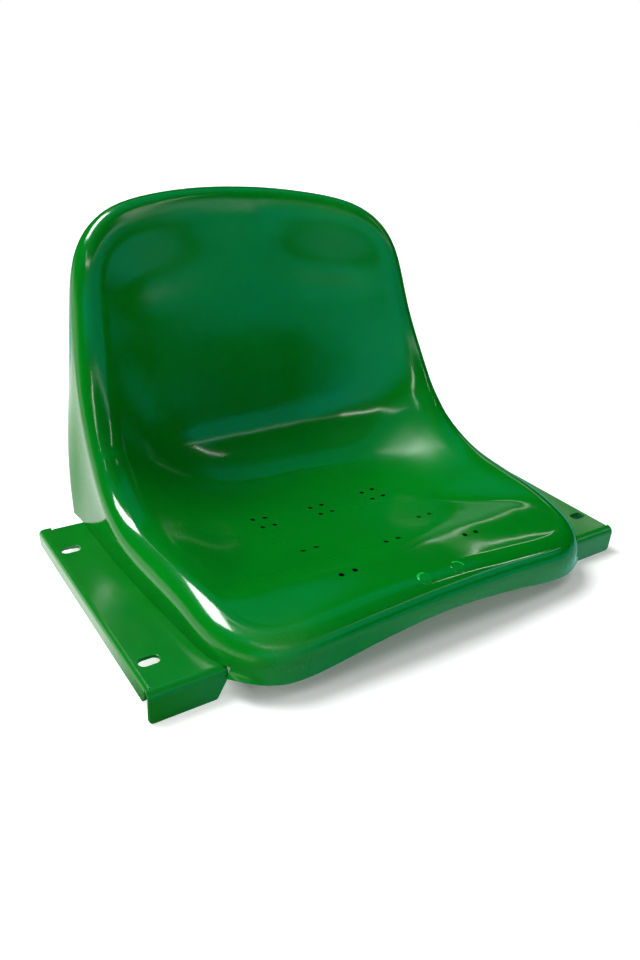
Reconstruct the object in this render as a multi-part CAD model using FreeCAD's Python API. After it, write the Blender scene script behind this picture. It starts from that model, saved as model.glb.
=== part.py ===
import FreeCAD, Part
import os, math

# Stadium bucket seat on two folded side brackets.
# Millimetres, +Z up, seat faces -Y, symmetric about X = 0, rests on Z = 0.
# The driving dimensions come first; the shape tables are in a working frame whose
# Y = 0 is the front face of the brackets, and everything is moved by ORIGIN_SHIFT_Y at the end.

# ------------------------------------------------------------------ driving dimensions
OVERALL_WIDTH      = 500.0    # bracket outer edge to bracket outer edge
BRACKET_LENGTH     = 247.0    # front face to rear edge
BRACKET_TOP_Z      = 26.5     # top face of the bracket plates
BRACKET_GAUGE      = 3.0      # sheet thickness
BRACKET_FOLD_R     = 7.0      # outer radius of the front fold
BRACKET_INNER_X    = 152.0    # inner edge of the plate, under the shell
SIDE_LIP_H         = 14.3     # folded lip along the outer edge
REAR_FOLD_R        = 5.0      # outer radius of the rear fold
REAR_WALL_END_X    = 222.0    # outer end of the rear wall at the floor
REAR_WALL_TOP_X    = 238.0    # outer end of the rear wall at its fold
FRONT_WALL_END_X   = 197.0    # inner end of the front wall at the floor
SLOT_PITCH_X       = 470.0
SLOT_PITCH_Y       = 169.0
SLOT_FRONT_Y       = 34.3
SLOT_WIDTH         = 9.5
SLOT_LENGTH        = 16.5
SHELL_THICKNESS    = 4.2
DRAIN_HOLE_D       = 4.2
PLUG_D             = 13.8
PLUG_HOLE_D        = 14.0
PLUG_X             = 18.0
PLUG_TILT          = 18.0     # degrees forward of the crown
BOSS_X             = 176.0
BOSS_Y             = (42.0, 124.0, 206.0)
BOSS_D             = 17.0
INSERT_D           = 8.0
INSERT_LENGTH      = 12.0
SCREW_D            = 6.0
SCREW_HOLE_D       = 6.6
WASHER_D           = 12.0
WASHER_T           = 1.6
SCREW_HEAD_D       = 10.5
SCREW_HEAD_H       = 3.3
SCREW_LENGTH       = 16.0
NOTCH_CLEAR        = 0.25     # between the shell's side wall and the bracket plate it stands on
ORIGIN_SHIFT_Y     = -176.1   # working frame to the middle of the overall box

# ---------------------------------------------------------------- small helpers
def sstep(a,b,x):
    t=(x-a)/(b-a); t=0.0 if t<0 else 1.0 if t>1 else t
    return t*t*t*(t*(6*t-15)+10)
def bs_w(f):
    g=1-f
    return (g*g*g/6, (3*f*f*f-6*f*f+4)/6, (3*g*g*g-6*g*g+4)/6, f*f*f/6)
def bs_open(P,t):
    """uniform cubic B-spline on control rows P, end rows extended linearly, t in 0..len-1"""
    n=len(P); t=min(max(t,0.0),n-1.0); i=int(t)
    if i>n-2: i=n-2
    w=bs_w(t-i); out=[0.0]*len(P[0])
    for k in range(4):
        j=i-1+k
        if j<0: row=[2*a-b for a,b in zip(P[0],P[1])]
        elif j>n-1: row=[2*a-b for a,b in zip(P[n-1],P[n-2])]
        else: row=P[j]
        for c,v in enumerate(row): out[c]+=w[k]*v
    return out
# ---------------------------------------------------------------- base curve (y,z), centre line of the dish
BASE=[(-78,67),(-48,64.5),(-20,62.5),(8,61.5),(36,57.5),(64,50.5),(92,43),(120,36.5),(148,31),(176,27.5),(203,26.5),(228,30),
      (250,38.5),(268,52),(281,69),(290,90),(297.5,115),(305,142),(313.5,170),(322,198),(331,226),(340,254),(349.5,282),(360,311),(371,340),(382,369)]
# loop stations, nose centre -> top centre (right half): rim tube centre x,y,z, tube radius, free edge x,y,z, slope length, crest length of wall tangent
#        RCx   RCy   RCz   rho   Ex    Ey    Ez    Ls   band
ST=[(0, -7, 36.8, 22, 0, -29, 31.4, 60, 0),
    (42, -7, 36.2, 22, 42, -29.3, 29, 60, 0),
    (84, -6.5, 33.6, 21.5, 84, -30, 24.9, 62, 0),
    (124, -7, 31, 21, 124, -29, 16.6, 62, 0),
    (156.5, -5, 27.8, 22.8, 162, -26, 12.8, 64, 0),
    (172, 13.5, 28.5, 24, 192.5, -10, 24.3, 70, 0.3),
    (177, 38.5, 34.2, 23, 198, 30, 0, 82, 0.7),
    (181, 66, 39.2, 20.5, 203, 62, 0, 95, 1),
    (184, 97, 40.2, 20.2, 207, 97, 0, 105, 1),
    (187, 128, 40.6, 19.6, 210.5, 133, 0, 108, 1),
    (189.8, 158, 44.3, 18.2, 212.5, 170, 0, 110, 1),
    (190.6, 184.8, 54.2, 17, 214, 206, 0, 112, 1),
    (190, 208.3, 66.4, 16, 215, 238, 0, 112, 1),
    (189.4, 230.1, 83.8, 14.5, 212.6, 258.5, 6, 112, 1),
    (190, 248.3, 106.3, 12.5, 211.8, 270.3, 52, 112, 1),
    (188.3, 263.6, 129, 12.5, 207, 284.4, 91.8, 112, 1),
    (184.9, 277.7, 153, 12.5, 199.6, 295.7, 127.9, 112, 1),
    (180.9, 290.6, 179, 12.5, 192.8, 306.4, 162, 112, 1),
    (177.2, 301, 207, 12.5, 187.5, 317.2, 193, 110, 1),
    (173.2, 310.3, 234.6, 12.5, 181.6, 327.5, 222.1, 105, 1),
    (161.9, 320.7, 260.9, 12.5, 173.4, 335.7, 250.9, 100, 1),
    (136.4, 334, 278.9, 12.5, 144.4, 350.5, 274.9, 92, 1),
    (101.6, 347.6, 285.4, 12.5, 106.6, 365.1, 284.9, 84, 1),
    (68.6, 356.8, 288.8, 12.5, 70.6, 374.8, 289.8, 78, 1),
    (34.4, 363.5, 290.9, 12.5, 35.4, 381, 292.6, 74, 1),
    (0, 365.8, 291.2, 12.5, 0, 383.3, 293.2, 72, 1)]
NH=len(ST)-1            # stations per half
def mirror_row(r):
    r=list(r); r[0]=-r[0]; r[4]=-r[4]; return r
LOOP=[list(r) for r in ST]+[mirror_row(ST[k]) for k in range(NH-1,0,-1)]
NL=len(LOOP)            # periodic
def loop_at(s):
    """s in 0..NL (periodic)"""
    i=int(math.floor(s)); w=bs_w(s-i); out=[0.0]*9
    for k in range(4):
        row=LOOP[(i-1+k)%NL]
        for c in range(9): out[c]+=w[k]*row[c]
    return out
def base_at(u):
    """u in 0..len-1 -> y,z and unit normal (towards the sitter)"""
    y,z=bs_open(BASE,u); e=1e-3
    y2,z2=bs_open(BASE,u+e); y1,z1=bs_open(BASE,u-e)
    dy,dz=y2-y1,z2-z1; L=math.hypot(dy,dz); dy/=L; dz/=L
    return y,z,-dz,dy
# arc length table so that u is in mm
_N=1200; _T=[i*(len(BASE)-1)/_N for i in range(_N+1)]; _P=[bs_open(BASE,t) for t in _T]; _S=[0.0]
for i in range(_N): _S.append(_S[-1]+math.hypot(_P[i+1][0]-_P[i][0],_P[i+1][1]-_P[i][1]))
def u_of_len(l):
    lo,hi=0,_N
    if l<=0: return 0.0
    if l>=_S[-1]: return _T[-1]
    while hi-lo>1:
        m=(lo+hi)//2
        if _S[m]<=l: lo=m
        else: hi=m
    f=(l-_S[lo])/(_S[hi]-_S[lo]); return _T[lo]+f*(_T[hi]-_T[lo])
def lift(x,l,h):
    """tray space (x, length along the base, height) -> model space"""
    y,z,ny,nz=base_at(u_of_len(l)); return (x,y+ny*h,z+nz*h)
def drop(y,z,l0=None):
    """inverse of lift in the y,z plane: -> length, height"""
    best=None
    for i in range(0,_N+1,3):
        if l0 is not None and abs(_S[i]-l0)>60: continue
        d=(_P[i][0]-y)**2+(_P[i][1]-z)**2
        if best is None or d<best[0]: best=(d,i)
    l=_S[best[1]]
    for it in range(12):
        u=u_of_len(l); by,bz,ny,nz=base_at(u); ty,tz=nz,-ny
        e=(y-by)*ty+(z-bz)*tz
        l+=e*0.9
        if abs(e)<1e-6: break
    by,bz,ny,nz=base_at(u_of_len(l))
    return l,(y-by)*ny+(z-bz)*nz
CEN_L=drop(165,29)[0]        # pole of the ring layout
def ring(s):
    """everything of one loop position that the profile needs"""
    X,Y,Z,rho,ex,ey,ez,Ls,band=loop_at(s)
    l,h=drop(Y,Z)
    return dict(x=X,l=l,h=h,rho=rho,E=(ex,ey,ez),Ls=Ls,band=band)
def outline_normal(s,e=0.02):
    a,b=loop_at(s-e),loop_at(s+e)
    la,ha=drop(a[1],a[2]); lb,hb=drop(b[1],b[2])
    dx,dl=b[0]-a[0],lb-la; L=math.hypot(dx,dl)
    # loop runs nose centre -> right -> top: outward is to the right of travel (x+, l direction): (dl,-dx)
    return dl/L,-dx/L
def G(t):
    """1 at the crest, 0 at the foot of the inner slope"""
    if t>=1: return 0.0
    return (1-t*t)**2.6
BAND_H=0.35; BAND_W=24.0
def inner(R,r):
    """r: 0 pole .. 1 crest"""
    x=R['x']*r; l=CEN_L+(R['l']-CEN_L)*r
    D=math.hypot(R['x'],R['l']-CEN_L)
    q=(1-r)*D
    hc=R['h']+R['rho']
    b=BAND_H*R['band']
    h=(hc-b)*G(q/R['Ls'])+b*(1-sstep(BAND_W*0.55,BAND_W*1.25,q))
    return lift(x,l,h)
def section(R,N,nin,nroll,nwall,rings=None):
    """points from the pole side (r small) out over the crest, roll and wall to the free edge"""
    pts=[]
    for r in rings: pts.append(inner(R,r))
    rho=R['rho']
    for k in range(1,nroll+1):
        a=math.radians(90.0*k/nroll)
        pts.append(lift(R['x']+N[0]*rho*math.sin(a), R['l']+N[1]*rho*math.sin(a), R['h']+rho*math.cos(a)))
    T=pts[-1]
    y,z,ny,nz=base_at(u_of_len(R['l']+N[1]*rho))
    d=(0.0,-ny,-nz); E=R['E']
    L=math.dist(T,E)
    m0=[c*L for c in d]; m1=[(E[i]-T[i]) for i in range(3)]
    for k in range(1,nwall+1):
        t=k/nwall
        h00=2*t**3-3*t**2+1; h10=t**3-2*t**2+t; h01=-2*t**3+3*t**2; h11=t**3-t**2
        pts.append(tuple(h00*T[i]+h10*m0[i]+h01*E[i]+h11*m1[i] for i in range(3)))
    return pts
def rings_list(D,Ls,nin):
    # finer near the crest
    return [ (k/nin)**0.75 for k in range(1,nin+1)]
def build(ns,nin,nroll,nwall):
    out=[]
    for k in range(ns):
        s=NL*k/ns
        R=ring(s); N=outline_normal(s)
        out.append(section(R,N,nin,nroll,nwall,rings_list(0,0,nin)))
    return out
# ------------------------------------------------------------------ height field of the dish (tray space)
# the nose is arched from side to side; the arch fades out into the pan
ARCH,ARCH_C=0.095,60.0
ARCH_Y=(drop(-8.0,62.0)[0],drop(58.0,52.0)[0])
def arch(x,l): return ARCH*(math.hypot(x,ARCH_C)-ARCH_C)*(1-sstep(ARCH_Y[0],ARCH_Y[1],l))
_NA=720
_ang=[]; _rad=[]
def _prep():
    for k in range(_NA+1):
        s=NL*0.5*k/_NA
        R=ring(s)
        dx,dl=R['x'],R['l']-CEN_L
        _ang.append(math.atan2(dx,-dl) if k not in (0,_NA) else (0.0 if k==0 else math.pi))
        _rad.append((math.hypot(dx,dl),R['h']+R['rho']+arch(R['x'],R['l']),R['Ls'],BAND_H*R['band']))
_prep()
# side rails of the dish: crest position and height along the sweep, for the side-to-side bowl
_NS=600; SIDE_A,SIDE_B=5.5,21.0
_side=[]
for _k in range(_NS+1):
    _R=ring(SIDE_A+(SIDE_B-SIDE_A)*_k/_NS)
    _side.append((_R['l'],_R['x'],_R['h']+_R['rho'],BAND_H*_R['band']))
BOWL_M,BOWL_FLAT,BOWL_SOFT=2.9,12.0,5.0
BOWL_W=(drop(62.0,50.0)[0],drop(214.0,28.0)[0],drop(318.0,185.0)[0],drop(343.0,262.0)[0])
def bracket_index(tab,v,key):
    lo,hi=0,len(tab)-1
    while hi-lo>1:
        m=(lo+hi)//2
        if key(tab[m])<=v: lo=m
        else: hi=m
    a,b=key(tab[lo]),key(tab[hi])
    f=(v-a)/(b-a+1e-12)
    return lo,hi,min(max(f,0.0),1.0)
def height(x,l):
    """height of the dish surface above the base curve at tray position (x,l), inside the crest line"""
    dx,dl=abs(x),l-CEN_L
    q=math.hypot(dx,dl)
    a=math.atan2(dx,-dl)
    lo,hi,f=bracket_index(_ang,a,lambda v:v)
    D,hc,Ls,b=[p+(r-p)*f for p,r in zip(_rad[lo],_rad[hi])]
    qq=max(D-q,0.0)
    h1=(hc-b)*G(qq/Ls)+b*(1-sstep(BAND_W*0.55,BAND_W*1.25,qq))-arch(x,l)
    w=sstep(BOWL_W[0],BOWL_W[1],l)*(1-sstep(BOWL_W[2],BOWL_W[3],l))
    if w<=0.0: return h1
    lo,hi,f=bracket_index(_side,l,lambda v:v[0])
    X,H,B=[p+(r-p)*f for p,r in zip(_side[lo][1:],_side[hi][1:])]
    u=max(X-dx,0.0)
    e=BOWL_SOFT*(math.log1p(math.exp((u-BOWL_FLAT)/BOWL_SOFT))-math.log1p(math.exp(-BOWL_FLAT/BOWL_SOFT)))
    t=max(1-e/(X-BOWL_FLAT),0.0)
    h2=(H-B)*t**BOWL_M+B*(1-sstep(BAND_W*0.55,BAND_W*1.25,u))
    return h1*(1-w)+h2*w
def dish(x,l): return lift(x,l,height(x,l))
def vec(p): return FreeCAD.Vector(*p)
def cross(a,b): return (a[1]*b[2]-a[2]*b[1],a[2]*b[0]-a[0]*b[2],a[0]*b[1]-a[1]*b[0])
def unit(a):
    L=math.sqrt(sum(c*c for c in a)); return tuple(c/L for c in a)
def sub(a,b): return tuple(p-q for p,q in zip(a,b))
def add(a,b,k=1.0): return tuple(p+q*k for p,q in zip(a,b))
def dish_normal(x,l,e=0.35):
    a=sub(dish(x+e,l),dish(x-e,l)); b=sub(dish(x,l+e),dish(x,l-e))
    n=unit(cross(a,b)); return n
# profile outside the crest: w 0..1 roll, 1..2 wall
def rimpt(s,w):
    R=ring(s); N=outline_normal(s); rho=R['rho']
    if w<=1:
        a=math.radians(90*w)
        return lift(R['x']+N[0]*rho*math.sin(a),R['l']+N[1]*rho*math.sin(a),R['h']+rho*math.cos(a))
    T=lift(R['x']+N[0]*rho,R['l']+N[1]*rho,R['h'])
    y,z,ny,nz=base_at(u_of_len(R['l']+N[1]*rho))
    d=(0.0,-ny,-nz); E=R['E']; L=math.dist(T,E)
    m0=[c*L for c in d]; m1=sub(E,T); t=w-1
    h00=2*t**3-3*t**2+1; h10=t**3-2*t**2+t; h01=-2*t**3+3*t**2; h11=t**3-t**2
    return tuple(h00*T[i]+h10*m0[i]+h01*E[i]+h11*m1[i] for i in range(3))
def rim_normal(s,w):
    es=0.02; w0,w1=(w-0.02,w+0.02)
    if w<0.02: w0,w1=0.0,0.04
    if w>1.98: w0,w1=1.96,2.0
    a=sub(rimpt(s+es,w),rimpt(s-es,w)); b=sub(rimpt(s,w1),rimpt(s,w0))
    n=unit(cross(b,a)); return n
# ------------------------------------------------------------------ B-spline interpolation through a grid
def basis_rows(params,deg=3):
    n=len(params); kn=[0.0]*(deg+1)
    for j in range(1,n-deg): kn.append(sum(params[j:j+deg])/deg)
    kn+= [params[-1]]*(deg+1)
    rows=[]
    for t in params:
        # find span
        if t>=params[-1]: k=n-1
        else:
            k=deg
            while not (kn[k]<=t<kn[k+1]): k+=1
        N=[1.0]
        for d in range(1,deg+1):
            M=[0.0]*(d+1)
            for r in range(d):
                left=kn[k+1-d+r]; right=kn[k+1+r]
                w=N[r]/(right-left) if right>left else 0.0
                M[r]+=w*(right-t); M[r+1]+=w*(t-left)
            N=M
        row=[0.0]*n
        for r in range(deg+1): row[k-deg+r]=N[r]
        rows.append(row)
    return rows,kn
def inverse(A):
    n=len(A); M=[r[:]+[1.0 if i==j else 0.0 for j in range(n)] for i,r in enumerate(A)]
    for c in range(n):
        p=max(range(c,n),key=lambda r:abs(M[r][c])); M[c],M[p]=M[p],M[c]
        d=M[c][c]; M[c]=[v/d for v in M[c]]
        for r in range(n):
            if r!=c and M[r][c]!=0.0:
                f=M[r][c]; M[r]=[a-f*b for a,b in zip(M[r],M[c])]
    return [r[n:] for r in M]
def knots_mults(kn):
    ks,ms=[],[]
    for k in kn:
        if ks and abs(k-ks[-1])<1e-12: ms[-1]+=1
        else: ks.append(k); ms.append(1)
    return ks,ms
class Interp:
    def __init__(self,params):
        rows,self.kn=basis_rows(params); self.inv=inverse(rows); self.n=len(params)
        self.k,self.m=knots_mults(self.kn)
    def apply(self,pts):
        return [tuple(sum(w*p[c] for w,p in zip(row,pts)) for c in range(3)) for row in self.inv]
def surface(grid,IU,IV):
    cols=[IV.apply(r) for r in grid]
    tr=[IU.apply([cols[i][j] for i in range(len(cols))]) for j in range(IV.n)]
    poles=[[vec(tr[j][i]) for j in range(IV.n)] for i in range(IU.n)]
    sf=Part.BSplineSurface()
    sf.buildFromPolesMultsKnots(poles,IU.m,IV.m,IU.k,IV.k,False,False,3,3)
    return sf.toShape()
def strip(rowa,rowb,IU):
    pa=IU.apply(rowa); pb=IU.apply(rowb)
    sf=Part.BSplineSurface()
    sf.buildFromPolesMultsKnots([[vec(p),vec(q)] for p,q in zip(pa,pb)],IU.m,[2,2],IU.k,[0.0,1.0],False,False,3,1)
    return sf.toShape()
# ------------------------------------------------------------------ seat shell
def shell_solid(thick):
    faces=[]
    # loop positions of the four diagonals
    s1=5.0; s2=20.6
    xa=92.0; la=CEN_L-96.0; lb=CEN_L+178.0
    nf,nr,nb=15,27,15           # samples along the front, right/left and back sides
    rows_in=[0.0,0.2,0.4,0.57,0.72,0.84,0.93,1.0]
    roll=[0.25,0.5,0.75,1.0]; wall=[1.2,1.4,1.6,1.8,2.0]
    # parameters across the ring: mean chord lengths
    tp=[0.0]+[95*r for r in rows_in[1:]]
    tp+= [95+20*w for w in roll]
    tp+= [115+38*(w-1) for w in wall]
    IT=Interp(tp)
    def lin(a,b,n): return [a+(b-a)*i/(n-1) for i in range(n)]
    sides=[]
    sides.append(('front',[(x,la) for x in lin(-xa,xa,nf)],lin(NL-s1,NL+s1,nf)))
    sides.append(('right',[(xa,l) for l in lin(la,lb,nr)],lin(s1,s2,nr)))
    sides.append(('back',[(x,lb) for x in lin(xa,-xa,nb)],lin(s2,NL-s2,nb)))
    sides.append(('left',[(-xa,l) for l in lin(lb,la,nr)],lin(NL-s2,NL-s1,nr)))
    IS={n:Interp([float(i) for i in range(n)]) for n in (nf,nr,nb)}
    top_edge=[]
    for name,ins,ss in sides:
        gt,gu=[],[]
        for (x0,l0),s in zip(ins,ss):
            R=ring(s); rt,ru=[],[]
            for r in rows_in:
                x=x0+(R['x']-x0)*r; l=l0+(R['l']-l0)*r
                if r==1.0:
                    p=rimpt(s,0.0); n=dish_normal(x*0.999,l0+(R['l']-l0)*0.999) if False else rim_normal(s,0.0)
                else:
                    p=dish(x,l); n=dish_normal(x,l)
                rt.append(p); ru.append(add(p,n,-thick))
            for w in roll+wall:
                p=rimpt(s,w); n=rim_normal(s,w)
                rt.append(p); ru.append(add(p,n,-thick))
            gt.append(rt); gu.append(ru)
        I=IS[len(gt)]
        faces.append(surface(gt,I,IT)); faces.append(surface(gu,I,IT))
        faces.append(strip([r[-1] for r in gt],[r[-1] for r in gu],I))
    xs=lin(-xa,xa,nf); ls=lin(la,lb,nr)
    gt=[[dish(x,l) for l in ls] for x in xs]; gu=[[add(dish(x,l),dish_normal(x,l),-thick) for l in ls] for x in xs]
    faces.append(surface(gt,IS[nf],IS[nr])); faces.append(surface(gu,IS[nf],IS[nr]))
    sh=Part.makeShell(faces); sh.sewShape(0.05) if False else sh.sewShape()
    sol=Part.makeSolid(sh)
    if sol.Volume<0: sol.reverse()
    return sol,faces

# ------------------------------------------------------------------ pieces
def cyl(x,y,z,r,h,axis=(0,0,1)): return Part.makeCylinder(r,h,vec((x,y,z)),vec(axis))
def box(x0,x1,y0,y1,z0,z1): return Part.makeBox(x1-x0,y1-y0,z1-z0,vec((x0,y0,z0)))
def biggest(shape):
    return max(shape.Solids,key=lambda s:s.Volume)

def surface_point(x,y,lo=None):
    """dish surface point and normal above the plan position (x,y), pan side"""
    l=drop(y,45.0)[0]
    for it in range(30):
        p=dish(x,l)
        e=p[1]-y
        l-=e*0.9
        if abs(e)<1e-5: break
    return dish(x,l),dish_normal(x,l)

shell,_f=shell_solid(SHELL_THICKNESS)
raw_shell=shell.copy()

# the skirt is cut away where each bracket plate passes under the side wall, and trimmed level with the floor
NOTCH_Y0=-1.2; NOTCH_Y1=BRACKET_LENGTH+50.0
for sg in (-1,1):
    xa,xb=sorted((sg*150.0,sg*262.0))
    shell=shell.cut(box(xa,xb,NOTCH_Y0,NOTCH_Y1,-5,BRACKET_TOP_Z+NOTCH_CLEAR))
shell=shell.cut(box(-300,300,-100,500,-10,0.0))
shell=biggest(shell)

# drain holes: three clusters of four, five pairs
DRAIN=[]
for cx,cy in ((-64.7,161.4),(0.0,160.0),(64.7,161.4)):
    for dx in (-6.7,6.7):
        for dy in (-9.2,9.2): DRAIN.append((cx+dx,cy+dy))
for cx,cy in ((-65.5,83.0),(65.5,83.0),(0.0,51.7),(-67.6,24.5),(67.6,24.5)):
    for dx in (-6.7,6.7): DRAIN.append((cx+dx,cy))
drills=[]
for x,y in DRAIN:
    p,n=surface_point(x,y)
    q=add(p,n,-12.0)
    drills.append(cyl(q[0],q[1],q[2],DRAIN_HOLE_D/2,18.0,n))
shell=shell.cut(Part.makeCompound(drills))
shell=biggest(shell)

# plug holes in the nose, on the crown of the rolled front rim
R0=ring(0.4)
plugs=[]
for sg in (-1,1):
    rc=lift(0.0,R0['l'],R0['h'])
    a=math.radians(PLUG_TILT)
    by,bz,ny,nz=base_at(u_of_len(R0['l']))
    n=(0.0,ny*math.cos(a)-nz*math.sin(a),nz*math.cos(a)+ny*math.sin(a))
    p=(sg*PLUG_X,rc[1]+n[1]*R0['rho'],rc[2]+n[2]*R0['rho'])
    q=add(p,n,-9.0)
    shell=shell.cut(cyl(q[0],q[1],q[2],PLUG_HOLE_D/2,16.0,n))
    disc=biggest(raw_shell.common(cyl(q[0],q[1],q[2],PLUG_D/2,16.0,n)))
    sleeve=cyl(q[0],q[1],q[2],5.4,6.0,n).cut(cyl(q[0],q[1],q[2],3.9,3.4,n))
    plug=disc.fuse(sleeve).removeSplitter()
    plugs.append(biggest(plug))
    print('plug at',[round(v,2) for v in p])
shell=biggest(shell)

# screw bosses under the pan edges
def boss(x,y):
    c=cyl(x,y,BRACKET_TOP_Z+NOTCH_CLEAR,BOSS_D/2,90.0)
    low=c.cut(raw_shell)
    part=min(low.Solids,key=lambda s:s.BoundBox.ZMin)
    return part
boss_parts=[boss(sg*BOSS_X,y) for sg in (-1,1) for y in BOSS_Y]
shell=shell.fuse(boss_parts)
shell=biggest(shell)
for sg in (-1,1):
    for y in BOSS_Y:
        shell=shell.cut(cyl(sg*BOSS_X,y,BRACKET_TOP_Z-1,INSERT_D/2,INSERT_LENGTH+1+NOTCH_CLEAR))
        shell=shell.cut(cyl(sg*BOSS_X,y,BRACKET_TOP_Z+INSERT_LENGTH,3.4,3.0))
shell=biggest(shell)

# side bracket: plate, folded front wall, folded side lip, chamfered inner end, slots
def bracket(sg):
    t=BRACKET_GAUGE; H=BRACKET_TOP_Z; L=BRACKET_LENGTH; R=BRACKET_FOLD_R; xo=OVERALL_WIDTH/2
    # side profile of plate + front wall, extruded along X
    def P(y,z): return FreeCAD.Vector(0,y,z)
    c45=math.cos(math.radians(45))
    outer=[Part.LineSegment(P(L,H),P(R,H)),
           Part.Arc(P(R,H),P(R-R*c45,H-R+R*c45),P(0,H-R)),
           Part.LineSegment(P(0,H-R),P(0,0)),
           Part.LineSegment(P(0,0),P(t,0)),
           Part.LineSegment(P(t,0),P(t,H-R)),
           Part.Arc(P(t,H-R),P(R-(R-t)*c45,H-R+(R-t)*c45),P(R,H-t)),
           Part.LineSegment(P(R,H-t),P(L,H-t)),
           Part.LineSegment(P(L,H-t),P(L,H))]
    w=Part.Wire([e.toShape() for e in outer])
    b=Part.Face(w).extrude(FreeCAD.Vector(xo-BRACKET_INNER_X,0,0))
    b.translate(FreeCAD.Vector(BRACKET_INNER_X,0,0))
    # plate set back where it passes behind the shell's front corner, fold and wall stop outside the corner
    b=b.cut(box(140,187.5,-5,12.5,-5,40))
    tri=Part.Face(Part.makePolygon([FreeCAD.Vector(187,-5,-1),FreeCAD.Vector(FRONT_WALL_END_X,-5,-1),
        FreeCAD.Vector(189.2,-5,H-9.5),FreeCAD.Vector(187,-5,H-9.5),FreeCAD.Vector(187,-5,-1)])).extrude(FreeCAD.Vector(0,10,0))
    b=b.cut(tri)
    # rear wall, folded down, its outer end set in and chamfered
    Rr=REAR_FOLD_R
    rear=[Part.Arc(P(L-Rr,H),P(L-Rr+Rr*c45,H-Rr+Rr*c45),P(L,H-Rr)),
          Part.LineSegment(P(L,H-Rr),P(L,0)),
          Part.LineSegment(P(L,0),P(L-t,0)),
          Part.LineSegment(P(L-t,0),P(L-t,H-Rr)),
          Part.Arc(P(L-t,H-Rr),P(L-Rr+(Rr-t)*c45,H-Rr+(Rr-t)*c45),P(L-Rr,H-t)),
          Part.LineSegment(P(L-Rr,H-t),P(L-Rr,H))]
    rw=Part.Face(Part.Wire([e.toShape() for e in rear])).extrude(FreeCAD.Vector(REAR_WALL_TOP_X-BRACKET_INNER_X,0,0))
    rw.translate(FreeCAD.Vector(BRACKET_INNER_X,0,0))
    cham=Part.Face(Part.makePolygon([FreeCAD.Vector(REAR_WALL_TOP_X+1,L-10,-1),FreeCAD.Vector(REAR_WALL_END_X,L-10,-1),
        FreeCAD.Vector(REAR_WALL_TOP_X,L-10,H-Rr-1),FreeCAD.Vector(REAR_WALL_TOP_X+1,L-10,H-Rr-1),FreeCAD.Vector(REAR_WALL_TOP_X+1,L-10,-1)])).extrude(FreeCAD.Vector(0,20,0))
    rw=rw.cut(cham)
    b=b.cut(box(BRACKET_INNER_X-1,REAR_WALL_TOP_X,L-Rr,L+1,H-t-1,H+1))
    b=b.fuse(rw).removeSplitter()
    # outer side lip, folded down with its own radius, stops short of the front wall (relief notch)
    r2=4.5; y0=7.5; y1=L
    lip_prof=[Part.LineSegment(FreeCAD.Vector(xo-r2,0,H),FreeCAD.Vector(xo-r2,0,H-t)),
              Part.Arc(FreeCAD.Vector(xo-r2,0,H-t),FreeCAD.Vector(xo-r2+(r2-t)*c45,0,H-r2+(r2-t)*c45),FreeCAD.Vector(xo-t,0,H-r2)),
              Part.LineSegment(FreeCAD.Vector(xo-t,0,H-r2),FreeCAD.Vector(xo-t,0,H-SIDE_LIP_H)),
              Part.LineSegment(FreeCAD.Vector(xo-t,0,H-SIDE_LIP_H),FreeCAD.Vector(xo,0,H-SIDE_LIP_H)),
              Part.LineSegment(FreeCAD.Vector(xo,0,H-SIDE_LIP_H),FreeCAD.Vector(xo,0,H-r2)),
              Part.Arc(FreeCAD.Vector(xo,0,H-r2),FreeCAD.Vector(xo-r2+r2*c45,0,H-r2+r2*c45),FreeCAD.Vector(xo-r2,0,H))]
    lip=Part.Face(Part.Wire([e.toShape() for e in lip_prof])).extrude(FreeCAD.Vector(0,y1-y0,0))
    lip.translate(FreeCAD.Vector(0,y0,0))
    # lip's front and rear ends slope back
    for ya,yb in ((y0,y0+4.0),(y1,y1-4.0)):
        yo=ya-1 if yb>ya else ya+1
        lip=lip.cut(Part.Face(Part.makePolygon([FreeCAD.Vector(xo-10,yo,H-SIDE_LIP_H-1),FreeCAD.Vector(xo-10,yb,H-SIDE_LIP_H-1),FreeCAD.Vector(xo-10,ya,H-SIDE_LIP_H+6),FreeCAD.Vector(xo-10,yo,H-SIDE_LIP_H+6),FreeCAD.Vector(xo-10,yo,H-SIDE_LIP_H-1)])).extrude(FreeCAD.Vector(20,0,0)))
    b=b.cut(box(xo-r2,xo+5,y0,L+1,H-t-1,H+1))
    b=b.fuse(lip).removeSplitter()
    # rounded rear outer plate corner
    b=b.cut(box(xo-3.0,xo+1,L-3.0,L+1,-1,H+1).cut(cyl(xo-3.0,L-3.0,-1,3.0,H+3)))
    # slots
    for y in (SLOT_FRONT_Y,SLOT_FRONT_Y+SLOT_PITCH_Y):
        x=SLOT_PITCH_X/2; hw=SLOT_WIDTH/2; d=(SLOT_LENGTH-SLOT_WIDTH)/2
        s=box(x-d,x+d,y-hw,y+hw,0,40).fuse([cyl(x-d,y,0,hw,40),cyl(x+d,y,0,hw,40)])
        b=b.cut(s)
    for y in BOSS_Y: b=b.cut(cyl(BOSS_X,y,0,SCREW_HOLE_D/2,40))
    b=biggest(b)
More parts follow.
